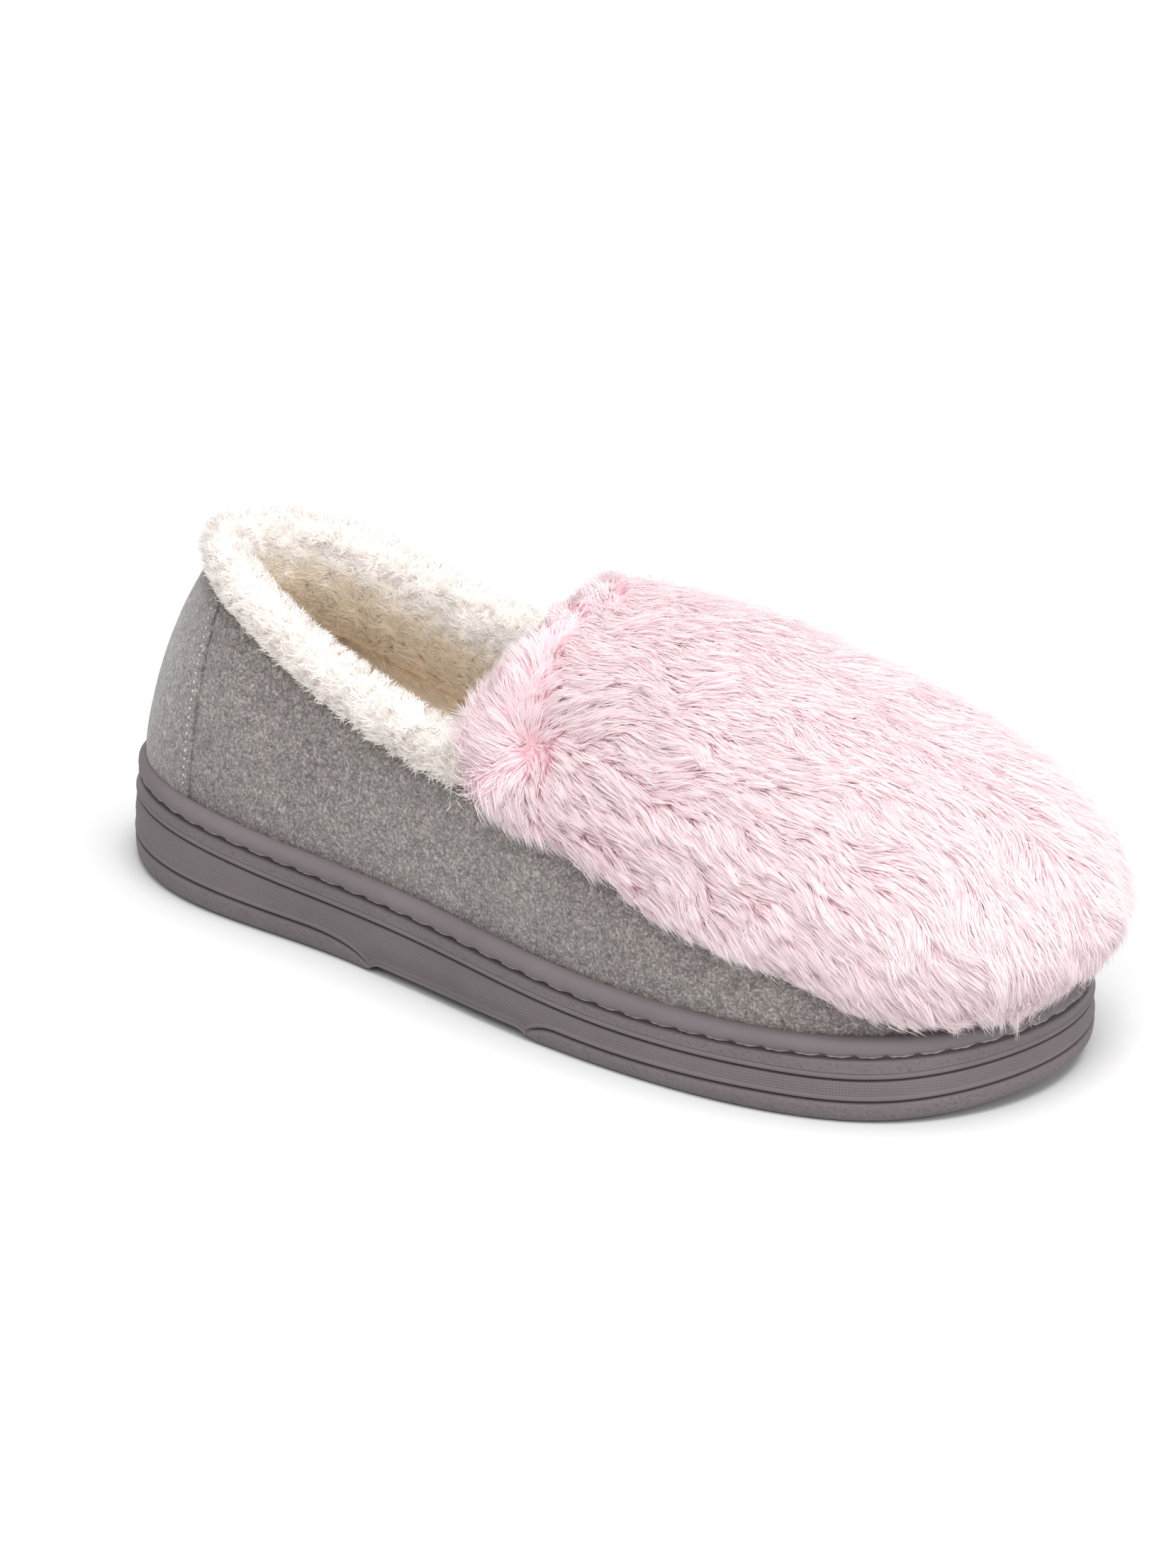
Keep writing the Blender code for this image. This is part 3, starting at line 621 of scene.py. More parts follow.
# %% Copies laid along a line
def copies(name, places, faces):
    """One mesh of many copies: places holds each copy's vertices, faces the faces of one."""
    count, size = places.shape[:2]
    sizes = np.array([len(face) for face in faces])
    corners = np.concatenate([np.array(face) for face in faces])
    corners = (corners[None] + size * np.arange(count)[:, None]).ravel()
    mesh = bpy.data.meshes.new(name)
    mesh.vertices.add(count * size)
    mesh.vertices.foreach_set("co", np.ascontiguousarray(places, np.float32).ravel())
    mesh.loops.add(len(corners))
    mesh.loops.foreach_set("vertex_index", corners.astype(np.int32))
    starts = np.r_[0, np.cumsum(np.tile(sizes, count))[:-1]]
    mesh.polygons.add(len(starts))
    mesh.polygons.foreach_set("loop_start", starts.astype(np.int32))
    mesh.polygons.foreach_set("use_smooth", np.full(len(starts), True))
    mesh.update(calc_edges=True)
    piece = bpy.data.objects.new(name, mesh)
    bpy.context.collection.objects.link(piece)
    return piece


def on_wall(along, inset, height):
    """A place on the wall, from the walk along it, the inset and the height (all in metres)."""
    ring = np.vstack([outline, outline[:1]])
    away = np.vstack([outward, outward[:1]])
    spot = np.stack([np.interp(along, walk, ring[:, axis]) for axis in (0, 1)], -1)
    push = np.stack([np.interp(along, walk, away[:, axis]) for axis in (0, 1)], -1)
    return np.concatenate([spot - push * inset[..., None], height[..., None]], -1)


THREAD_INSET, THREAD_DROP, THREAD_DIVE = 1.4 * MM, 0.12 * MM, 1.0 * MM
starts = stitch_step * (np.arange(stitch_count) + (1 - THREAD_SHARE) / 2)
along = (starts[:, None] + thread_spots[None, :, 2]) % walk[-1]
share = np.abs(thread_spots[:, 2] / (THREAD_SHARE / 2 * stitch_step) - 1.0) ** 4
closed_lean = np.interp(along, walk, np.r_[lean, lean[0]]) * MM
inset = THREAD_INSET + 0.8 * closed_lean - thread_spots[None, :, 0] + THREAD_DIVE * share
level = np.interp(along, walk, np.r_[stitch_line, stitch_line[0]]) * MM
level = sole_low[2] + level - THREAD_DROP + thread_spots[None, :, 1]
stitches = copies("sole_thread", on_wall(along, inset, level), thread_faces)


# %% The thread's finish
def mottled(name, dark, light, drift, nap, depth, details=(4.0, 4.0), **constants):
    """A finish that drifts between two tones, over bumps. drift, nap and depth are in mm."""
    finish = Finish(name, **constants)
    tone = finish.noise(finish.here(), drift * MM, detail=details[0])
    finish.set(Base_Color=finish.mix(tone, rgb(*dark), rgb(*light)))
    finish.bump(finish.noise(finish.here(), nap * MM, detail=details[1]), depth * MM)
    return finish.material


TWINE = (3.0, 3.0)  # detail of a thread's noises
cord = mottled("waxed_thread", (120, 112, 108), (185, 177, 170), 2.5, 0.3, 0.08, TWINE, roughness=0.75)
stitches.data.materials.append(cord)
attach(stitches, "root")
print("runs of thread:", stitch_count)

# %% [markdown]
# ## The suede upper
#
# The upper is one hollow shell, suede outside and plush inside. The working model already has its shape, in
# flat facets. So its shell is copied, its loose triangles are merged back into quads, and two levels of
# subdivision turn the facets into one smooth sewn surface. A gentle unevenness of half a millimetre keeps it
# from looking like plastic: stuffed fabric is never quite fair.

# %% Smooth copies of the working model's shells
FOOT_LINE_HEIGHT = 0.030
THROAT = -0.030
FLATNESS = math.radians(60)  # how far two triangles of one quad may bend


def smooth_copy(node_name, name, levels):
    """A merged, quad-faced and subdivided copy of one of the working model's parts."""
    piece = bpy.data.objects.new(name, nodes[node_name].data.copy())
    piece.data.materials.clear()
    bpy.context.collection.objects.link(piece)
    pick(piece)
    bpy.ops.object.mode_set(mode="EDIT")
    bpy.ops.mesh.select_all(action="SELECT")
    bpy.ops.mesh.remove_doubles(threshold=0.01 * MM)
    bpy.ops.mesh.tris_convert_to_quads(face_threshold=FLATNESS, shape_threshold=FLATNESS)
    bpy.ops.object.mode_set(mode="OBJECT")
    if levels:
        apply_modifier(piece, "SUBSURF", levels=levels, render_levels=levels)
    bpy.ops.object.shade_smooth()
    return piece


def from_foot_line(places):
    """The direction of each place from a line through the middle of the foot."""
    along = np.clip(places[:, 0], HEEL_CENTRE, TOE_CENTRE)
    line = np.stack([along, np.zeros(len(places)), np.full(len(places), FOOT_LINE_HEIGHT)], -1)
    away = places - line
    return away / np.linalg.norm(away, axis=1, keepdims=True)


UNEVENNESS, UNEVEN_SIZE = 0.9 * MM, 30 * MM
upper = smooth_copy("upper", "suede_upper", 2)
unevenness = bpy.data.textures.new("unevenness", "CLOUDS")
unevenness.noise_scale = UNEVEN_SIZE
apply_modifier(upper, "DISPLACE", texture=unevenness, strength=UNEVENNESS, mid_level=0.5)
centres, normals = (mesh_values(upper.data.polygons, key, 3) for key in ("center", "normal"))
at_throat = (centres[:, 0] > THROAT) & (normals[:, 0] < -0.35)
faces_in = ((normals * from_foot_line(centres)).sum(1) < 0) | at_throat
print("upper faces:", len(upper.data.polygons), "of them inside:", int(faces_in.sum()))

# %% [markdown]
# ## Suede
#
# Suede has a short nap. Each tuft of fibres leans its own way and catches the light or not, so the cloth
# looks like salt and pepper up close. Fine noise, pulled out of shape by coarser noise, gives the tufts. It
# drives the colour and the bump together. Broad clouds stand for the marks that a hand leaves in the nap.

# %% The suede's finish
suede = Finish("grey_suede", roughness=0.95, Sheen_Weight=0.35, Sheen_Roughness=0.5)
here = suede.here()
swirl = suede.noise(here, 2.2 * MM, detail=2.0, roughness=0.5, output="Color")
inputs = {0: swirl, 1: (1.6 * MM,) * 3, 2: here}
bent = suede.add("ShaderNodeVectorMath", {"operation": "MULTIPLY_ADD"}, inputs)
nap = suede.noise(bent, 0.75 * MM, detail=3.0, roughness=0.65)
tufts = suede.noise(bent, 2.4 * MM, detail=2.0)
hand_marks = suede.noise(here, 26 * MM, detail=3.0)
tone = suede.ramp(
    nap * 0.78 + tufts * 0.22,
    (0.34, rgb(82, 77, 75)),
    (0.46, rgb(118, 112, 108)),
    (0.56, rgb(148, 141, 137)),
    (0.68, rgb(192, 184, 178)),
)
marks = suede.ramp(hand_marks, (0.35, (0.86, 0.85, 0.86, 1.0)), (0.65, (1.0, 1.0, 1.0, 1.0)))
suede.set(Base_Color=suede.mix(1.0, tone, marks, "MULTIPLY"))
suede.bump(nap * 0.7 + tufts * 0.5, 0.55 * MM)

plush = mottled(
    "cream_plush", (254, 239, 221), (255, 247, 236), 4.0, 1.2, 0.4, roughness=0.95, Sheen_Weight=0.4
)
upper.data.materials.append(suede.material)
upper.data.materials.append(plush)
upper.data.polygons.foreach_set("material_index", faces_in.astype(np.int32))
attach(upper, "root")
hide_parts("upper")

# %% [markdown]
# ## The heel piece and its stitches
#
# Two seams run up the sides of the heel, where a separate back piece of suede lies over the side panels. That
# piece is cut from a copy of the upper with a bisecting plane, keeps only the outer faces, and gets its own
# thickness from Solidify. A row of short stitches follows the edge.

# %% The heel piece
SEAM_FOOT, SEAM_TOP = Vector((-0.1052, 0.0, 0.028)), Vector((-0.1006, 0.0, 0.076))
HEEL_PIECE_THICKNESS = 0.7 * MM
CUFF_GAP, PROUD = 1.6 * MM, 0.05 * MM  # to the cuff, and over the side panels
seam_up = (SEAM_TOP - SEAM_FOOT).normalized()
seam_normal = Vector((seam_up.z, 0.0, -seam_up.x))


def twin(piece, name):
    """A copy of a piece, with its own mesh."""
    copy = piece.copy()
    copy.data = piece.data.copy()
    copy.name = name
    bpy.context.collection.objects.link(copy)
    return copy


heel_piece = twin(upper, "heel_piece")
pick(heel_piece)
bpy.ops.object.mode_set(mode="EDIT")
bpy.ops.mesh.select_all(action="SELECT")
bpy.ops.mesh.bisect(plane_co=SEAM_FOOT, plane_no=seam_normal, clear_outer=True)
bpy.ops.mesh.select_all(action="DESELECT")
heel_mesh = bmesh.from_edit_mesh(heel_piece.data)
collar_tree = BVHTree.FromObject(nodes["collar_cuff"], depsgraph)
for face in heel_mesh.faces:
    centre = face.calc_center_median()
    away = Vector(from_foot_line(np.array([centre]))[0])
    under_cuff = collar_tree.find_nearest(centre)[3] < CUFF_GAP
    face.select_set(face.material_index == 1 or away.dot(face.normal) < 0.3 or under_cuff)
bmesh.update_edit_mesh(heel_piece.data)
bpy.ops.mesh.delete(type="FACE")
bpy.ops.object.mode_set(mode="OBJECT")
for vertex in heel_piece.data.vertices:
    vertex.co += vertex.normal * PROUD
apply_modifier(heel_piece, "SOLIDIFY", thickness=HEEL_PIECE_THICKNESS, offset=1.0)
apply_modifier(heel_piece, "BEVEL", width=0.25 * MM, segments=2, limit_method="ANGLE")
while len(heel_piece.data.materials) > 1:
    heel_piece.data.materials.pop()
bpy.ops.object.shade_smooth_by_angle(angle=math.radians(50))
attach(heel_piece, "root")
print("heel piece faces:", len(heel_piece.data.polygons))

# %% One stitch, and two rows of it
STITCH_LENGTH, STITCH_STEP, STITCH_BACK, STITCH_THICK = 1.5 * MM, 2.3 * MM, 2.2 * MM, 0.42 * MM
STITCHES_UP, FIRST_STITCH = 28, 3.0 * MM
BESIDE = 0.08  # the rays to the heel start this far to its side
bpy.ops.object.select_all(action="DESELECT")
bpy.ops.mesh.primitive_cylinder_add(vertices=8, radius=STITCH_THICK / 2, depth=0.5 * STITCH_LENGTH)
stitch = bpy.context.object
bpy.ops.object.mode_set(mode="EDIT")
bpy.ops.mesh.select_all(action="DESELECT")
stitch_mesh = bmesh.from_edit_mesh(stitch.data)
for face in stitch_mesh.faces:
    face.select_set(abs(face.normal.z) > 0.5)
bmesh.update_edit_mesh(stitch.data)
bpy.ops.mesh.extrude_faces_move(TRANSFORM_OT_shrink_fatten={"value": -0.17 * STITCH_LENGTH})
bpy.ops.transform.resize(value=(0.75, 0.75, 1.0))
bpy.ops.mesh.extrude_faces_move(TRANSFORM_OT_shrink_fatten={"value": -0.08 * STITCH_LENGTH})
bpy.ops.transform.resize(value=(0.4, 0.4, 1.0))
bpy.ops.mesh.select_all(action="SELECT")
bpy.ops.mesh.normals_make_consistent(inside=False)
bpy.ops.object.mode_set(mode="OBJECT")
stitch_spots = spots(stitch.data)
stitch_faces = [tuple(face.vertices) for face in stitch.data.polygons]
bpy.data.objects.remove(stitch)

heel_tree = BVHTree.FromObject(heel_piece, bpy.context.evaluated_depsgraph_get())
laid = []
for side in (-1.0, 1.0):
    for number in range(STITCHES_UP):
        on_seam = SEAM_FOOT + seam_up * (number * STITCH_STEP + FIRST_STITCH) - seam_normal * STITCH_BACK
        start = on_seam + Vector((0, side * BESIDE, 0))
        place, normal, _, _ = heel_tree.ray_cast(start, Vector((0, -side, 0)))
        if place is None:
            continue
        up = (seam_up - normal * seam_up.dot(normal)).normalized()
        across = up.cross(normal)
        axes = np.array([across, normal, up])
        laid.append(np.array(place + normal * 0.02 * MM) + stitch_spots @ axes)
seam_stitches = copies("heel_stitches", np.array(laid), stitch_faces)
pale = mottled("pale_thread", (190, 184, 178), (235, 230, 224), 1.0, 0.25, 0.05, TWINE, roughness=0.7)
seam_stitches.data.materials.append(pale)
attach(seam_stitches, "root")
print("heel stitches:", len(laid))

# %% [markdown]
# ## Growing pile and fur
#
# Fleece, plush and long fur are all made the same way: tens of thousands of thin blades. Blender's own hair
# would look right in a render, but it isn't a mesh, so it couldn't go into a library of parts. One blade is
# modelled from a narrow strip and copied. Each copy is bent, one joint at a time: it leaves the cloth at
# its own angle, leans over in the direction the pile is combed, and stays at its own height over the cloth.

# %% One blade
BLADE_JOINTS = 2
bpy.ops.object.select_all(action="DESELECT")
bpy.ops.mesh.primitive_plane_add(size=1.0)
blade = bpy.context.object
bpy.ops.object.mode_set(mode="EDIT")
bpy.ops.mesh.select_all(action="DESELECT")
blade_mesh = bmesh.from_edit_mesh(blade.data)
for vertex in blade_mesh.verts:
    vertex.co.y = (vertex.co.y + 0.5) / BLADE_JOINTS
for edge in blade_mesh.edges:
    edge.select_set(all(vertex.co.y > 0.1 for vertex in edge.verts))
bmesh.update_edit_mesh(blade.data)
bpy.ops.transform.resize(value=(0.9, 1.0, 1.0))
bpy.ops.mesh.extrude_region_move(TRANSFORM_OT_translate={"value": (0.0, 1.0 / BLADE_JOINTS, 0.0)})
bpy.ops.transform.resize(value=(0.0, 1.0, 1.0))
bpy.ops.mesh.select_all(action="SELECT")
bpy.ops.mesh.remove_doubles(threshold=0.0001)
bpy.ops.mesh.normals_make_consistent(inside=False)
bpy.ops.object.mode_set(mode="OBJECT")
blade_spots = spots(blade.data)
blade_faces = [tuple(face.vertices) for face in blade.data.polygons]
blade_joint = np.rint(blade_spots[:, 1] * BLADE_JOINTS).astype(int)
bpy.data.objects.remove(blade)
print("one blade:", len(blade_spots), "points,", len(blade_faces), "faces")


# %% Roots
def unit(vectors):
    return vectors / np.maximum(np.linalg.norm(vectors, axis=-1, keepdims=True), 1e-9)


def scatter(piece, count, seed, keep):
    """Random places on a piece, evenly by area, with the normals there."""
    draw = np.random.default_rng(seed)
    mesh = piece.data
    mesh.calc_loop_triangles()
    triangles = mesh_values(mesh.loop_triangles, "vertices", 3, np.int32)
    normals = mesh_values(mesh.vertices, "normal", 3)
    corners = spots(mesh)[triangles]
    cross = np.cross(corners[:, 1] - corners[:, 0], corners[:, 2] - corners[:, 0])
    share = np.linalg.norm(cross, axis=1) * keep(corners.mean(1), unit(cross))
    chosen = draw.choice(len(triangles), count, p=share / share.sum())
    first, second = draw.random(count), draw.random(count)
    flip = first + second > 1
    first, second = np.where(flip, 1 - first, first), np.where(flip, 1 - second, second)
    weights = np.stack([1 - first - second, first, second], -1)[..., None]
    return (corners[chosen] * weights).sum(1), unit((normals[triangles[chosen]] * weights).sum(1)), draw


def nearest(tree, places):
    """The nearest places on a tree's surface, and the normals there."""
    found = [tree.find_nearest(Vector(place)) for place in places.tolist()]
    return np.array([hit[0] for hit in found]), np.array([hit[1] for hit in found])


def smooth_field(places, size, seed, count=24):
    """Soft random values between about -1 and 1 whose lumps are about this size."""
    draw = np.random.default_rng(seed)
    waves = unit(draw.normal(size=(count, 3))) * (2 * math.pi / size) * draw.uniform(0.6, 1.4, (count, 1))
    phases = draw.uniform(0, 2 * math.pi, count)
    return np.sin(places @ waves.T + phases).sum(1) / math.sqrt(count / 2)


# %% Bending the blades
ROOT_DEPTH, LEAST_HEIGHT = 0.2 * MM, 0.15 * MM


def march(tree, roots, normals, combed, length, lean, height, hug):
    """Each blade's joints. lean gives every joint's angle, height how far it may rise from the cloth."""
    joints, ups = [roots - normals * ROOT_DEPTH], [normals]
    now, up = roots, normals
    for number in range(BLADE_JOINTS):
        flat = unit(combed - up * (combed * up).sum(1, keepdims=True))
        angle = np.broadcast_to(lean[number], len(roots))[:, None]
        now = now + (flat * np.cos(angle) + up * np.sin(angle)) * (length / BLADE_JOINTS)[:, None]
        on_cloth, cloth_up = nearest(tree, now)
        same_side = (cloth_up * normals).sum(1) > 0.1
        rise = ((now - on_cloth) * cloth_up).sum(1)
        wanted = np.clip(rise, LEAST_HEIGHT, np.broadcast_to(height[number], len(roots)))
        now = now + cloth_up * ((wanted - rise) * hug * same_side)[:, None]
        up = unit(up + cloth_up * same_side[:, None])
        joints.append(now)
        ups.append(up)
    return np.array(joints), np.array(ups)


def gather(joints, roots, spacing, strength, seed):
    """Draw blades together into locks this far apart. Returns each blade's lock."""
    draw = np.random.default_rng(seed)
    chosen = draw.permutation(len(roots))
    taken, centres = {}, []
    for index in chosen.tolist():
        cell = tuple((roots[index] // spacing).astype(int).tolist())
        if cell not in taken:
            taken[cell] = len(centres)
            centres.append(index)
    tree = KDTree(len(centres))
    for number, index in enumerate(centres):
        tree.insert(roots[index].tolist(), number)
    tree.balance()
    locks = np.array([tree.find(place)[1] for place in roots.tolist()])
    middles = np.array(centres)[locks]
    for number in range(1, BLADE_JOINTS + 1):
        pull = (strength * (number / BLADE_JOINTS) ** 1.5)[:, None]
        joints[number] += (joints[number][middles] - joints[number]) * pull
    return locks


def coat(name, joints, ups, width, draw, locks, roll=0.5, soft=0.3, sky=0.15):
    """The mesh of all the blades, with how near the tip each point is and each blade's own shade."""
    count = joints.shape[1]
    heading = np.concatenate([joints[1:2] - joints[:1], joints[1:] - joints[:-1]])
    side = unit(np.cross(unit(heading), ups))
    turn = draw.normal(0.0, roll, count)[None, :, None]
    side = side * np.cos(turn) + ups * np.sin(turn)
    places = joints[blade_joint] + side[blade_joint] * (blade_spots[:, 0, None, None] * width[None, :, None])
    piece = copies(name, places.transpose(1, 0, 2), blade_faces)
    facing = np.cross(side, unit(heading)) * (1 - soft) + ups[:1] * soft + np.array([0.0, 0.0, sky])
    facing = unit(facing)[blade_joint].transpose(1, 0, 2)
    piece.data.normals_split_custom_set_from_vertices(facing.reshape(-1, 3).tolist())
    shade = draw.random(count) * 0.6 + draw.random(locks.max() + 1)[locks] * 0.4
    values = {"tip": np.tile(blade_joint / BLADE_JOINTS, count), "shade": np.repeat(shade, len(blade_spots))}
    for key, value in values.items():
        layer = piece.data.attributes.new(key, "FLOAT", "POINT")
        layer.data.foreach_set("value", value.astype(np.float32))
    return piece


def fibre(name, root, middle_tone, tip, roughness=0.75, through=0.3):
    """Pile: darker where it is deep, which is painted shade, paler to the tips, and light shines through it.
    """
    finish = Finish(name, roughness=roughness, Specular_IOR_Level=0.25)
    height = finish.add("ShaderNodeAttribute", {"attribute_name": "tip"}, output="Fac")
    shade = finish.add("ShaderNodeAttribute", {"attribute_name": "shade"}, output="Fac")
    # The root stop is darker than the tips: painted shade deep in the pile.
    stops = ((0.05, rgb(*root)), (0.5, rgb(*middle_tone)), (0.95, rgb(*tip)))
    colour = finish.ramp(height * 0.75 + shade * 0.3 - 0.05, *stops)
    finish.set(Base_Color=colour)
    glow = finish.nodes.new("ShaderNodeBsdfTranslucent")
    finish.put(glow.inputs["Color"], colour)
    blend = finish.nodes.new("ShaderNodeMixShader")
    blend.inputs["Fac"].default_value = through
    finish.links.new(finish.shader.outputs[0], blend.inputs[1])
    finish.links.new(glow.outputs[0], blend.inputs[2])
    finish.links.new(blend.outputs[0], finish.nodes["Material Output"].inputs["Surface"])
    return finish.material


# %% [markdown]
# ## The fleece cuff
#
# White fleece is turned out over the top edge, and hangs a little way down inside. It is a soft roll of
# cloth under a thick, tufted pile. The roll is a smooth copy of the working model's cuff. Its blades are
# short, stand well up and lean every way, but blades that share a lock lean together, which makes the curls.

# %% The cuff and its pile
cuff = smooth_copy("collar_cuff", "fleece_cuff", 2)
fleece_cloth = mottled(
    "fleece_cloth", (250, 244, 236), (255, 253, 249), 3.0, 1.5, 1.2, roughness=0.95, Sheen_Weight=0.5
)
cuff.data.materials.append(fleece_cloth)
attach(cuff, "root")
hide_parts("collar_cuff")
cuff_tree = BVHTree.FromObject(cuff, bpy.context.evaluated_depsgraph_get())

CUFF_BLADES, CUFF_SEED = 50000, 11
INSIDE_CLEARANCE = 2.2 * MM
RAY_START, RAY_REACH = 0.2 * MM, 6 * MM


def upper_gap(places, normals):
    """How far the suede or the lining lies in front of each place."""
    gaps = []
    for place, normal in zip(places.tolist(), normals.tolist()):
        hit = upper_tree.ray_cast(Vector(place) + Vector(normal) * RAY_START, Vector(normal), RAY_REACH)[3]
        gaps.append(RAY_REACH if hit is None else hit)
    return np.array(gaps)


def open_side(places, normals):
    """1 where the fleece isn't pressed against the suede or the lining."""
    return (upper_gap(places, normals) > INSIDE_CLEARANCE).astype(float)


roots, normals, draw = scatter(cuff, CUFF_BLADES, CUFF_SEED, open_side)
turn = smooth_field(roots, 7 * MM, 21) * 2.4 + draw.normal(0, 0.5, CUFF_BLADES)
around = unit(np.cross(normals, np.array([0.0, 0.0, 1.0])) + 1e-6)
slope = unit(np.cross(normals, around))
combed = around * np.cos(turn)[:, None] + slope * np.sin(turn)[:, None] + np.array([0.0, 0.0, 0.9])
length = draw.uniform(3.2, 5.2, CUFF_BLADES) * MM
facing_in = (normals * from_foot_line(roots)).sum(1) < 0.2
standing = 1 - 0.6 * facing_in  # worn flat on the foot's side
lean = [draw.normal(mean, 0.2, CUFF_BLADES) * standing for mean in (1.1, 0.6)]
height = [standing * limit * MM for limit in (2.2, 3.6)]
joints, ups = march(cuff_tree, roots, normals, combed, length, lean, height, 0.9)
strength = draw.uniform(0.0, 0.45, CUFF_BLADES)
locks = gather(joints, roots, 2.6 * MM, strength, 31)
width = draw.uniform(0.26, 0.4, CUFF_BLADES) * MM
fleece = coat("fleece_pile", joints, ups, width, draw, locks)
WHITE = fibre("white_fleece", (247, 243, 240), (249, 246, 244), (250, 248, 247), 0.85, 0.5)
CREAM = fibre("cream_fleece", (255, 246, 232), (255, 249, 239), (255, 251, 244), 0.85, 0.5)
fleece.data.materials.append(WHITE)
fleece.data.materials.append(CREAM)
collar_middle = np.mean(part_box("collar_cuff"), axis=0)
BEARINGS = 72
CREAM_FROM, CREAM_SPREAD = 11.0, 2.5  # mm under the cuff's top edge


def bearing(places):
    """Which of the directions round the collar each place lies in."""
    away = places - collar_middle
    return (np.arctan2(away[:, 1], away[:, 0]) / (2 * math.pi) % 1.0 * BEARINGS).astype(int) % BEARINGS


def below_top(places):
    """How far each place on the cuff lies under the cuff's top edge beside it."""
    tops = np.zeros(BEARINGS)
    edge = spots(cuff.data).astype(float)
    np.maximum.at(tops, bearing(edge), edge[:, 2])
    return soften(tops, 1)[bearing(places)] - places[:, 2]


creamy = facing_in & (below_top(roots) > draw.normal(CREAM_FROM, CREAM_SPREAD, CUFF_BLADES) * MM)
fleece.data.polygons.foreach_set("material_index", np.repeat(creamy, len(blade_faces)).astype(np.int32))
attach(fleece, "root")
print("fleece blades:", CUFF_BLADES)

# %% [markdown]
# ## The plush lining and the insole
#
# Inside, the same fleece is dyed a warm cream and pressed down by wear, so its blades are short and lie
# almost flat. The insole is a soft pad in the same plush: a smooth copy of the working model's insole, raised
# a little in the middle, with its own short pile.


# %% The lining's pile
LINING_BLADES, LINING_SEED = 28000, 12
upper_smooth_tree = BVHTree.FromObject(upper, bpy.context.evaluated_depsgraph_get())
LINING_FRONT = 0.035


def lining_side(places, normals):
    """1 on the inner wall, where the opening lets it be seen."""
    inner = (normals * from_foot_line(places)).sum(1) < -0.2
    return (inner & (places[:, 0] < LINING_FRONT)).astype(float)


roots, normals, draw = scatter(upper, LINING_BLADES, LINING_SEED, lining_side)
turn = smooth_field(roots * np.array([0.5, 0.5, 1.6]), 9 * MM, 22) * 0.9 + draw.normal(0, 0.35, LINING_BLADES)
around = unit(np.cross(normals, np.array([0.0, 0.0, 1.0])))
around *= np.where(around[:, :1] < 0, -1, 1)
combed = around * np.cos(turn)[:, None] + unit(np.cross(normals, around)) * np.sin(turn)[:, None]
length = draw.uniform(3.0, 5.5, LINING_BLADES) * MM
lean = [draw.normal(mean, 0.12, LINING_BLADES) for mean in (0.4, 0.12)]
height = [limit * MM for limit in (0.6, 1.0)]
joints, ups = march(upper_smooth_tree, roots, normals, combed, length, lean, height, 0.9)
locks = gather(joints, roots, 3.0 * MM, draw.uniform(0.1, 0.4, LINING_BLADES), 32)
width = draw.uniform(0.35, 0.55, LINING_BLADES) * MM
lining = coat("lining_pile", joints, ups, width, draw, locks, roll=0.2, soft=0.5, sky=0.6)
lining.data.materials.append(CREAM)
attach(lining, "root")
print("lining blades:", LINING_BLADES)

# %% The insole
CROWN = 1.2 * MM
insole = smooth_copy("insole", "soft_insole", 1)
_, pad_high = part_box("insole")
for vertex in insole.data.vertices:
    width_share = np.clip(1 - (vertex.co.y / pad_high[1]) ** 2, 0, 1)
    vertex.co.z += CROWN * width_share * float(vertex.normal.z > 0.3)
insole.data.materials.append(plush)
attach(insole, "root")
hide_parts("insole")
insole_tree = BVHTree.FromObject(insole, bpy.context.evaluated_depsgraph_get())
PAD_BLADES, PAD_SEED = 14000, 13


def pad_top(places, normals):
    """1 on the top of the pad, where the opening lets it be seen."""
    return ((normals[:, 2] > 0.5) & (places[:, 0] < LINING_FRONT)).astype(float)


roots, normals, draw = scatter(insole, PAD_BLADES, PAD_SEED, pad_top)
turn = smooth_field(roots, 16 * MM, 23) * 1.5 + draw.normal(0, 0.4, PAD_BLADES)
combed = np.stack([np.cos(turn), np.sin(turn), np.zeros(PAD_BLADES)], -1)
length = draw.uniform(3.0, 5.0, PAD_BLADES) * MM
lean = [draw.normal(mean, 0.15, PAD_BLADES) for mean in (0.5, 0.15)]
joints, ups = march(insole_tree, roots, normals, combed, length, lean, height, 0.9)
locks = gather(joints, roots, 3.0 * MM, draw.uniform(0.0, 0.3, PAD_BLADES), 33)
width = draw.uniform(0.28, 0.42, PAD_BLADES) * MM
pad_pile = coat("insole_pile", joints, ups, width, draw, locks, roll=0.2, soft=0.5)
pad_pile.data.materials.append(CREAM)
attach(pad_pile, "root")
print("insole blades:", PAD_BLADES)
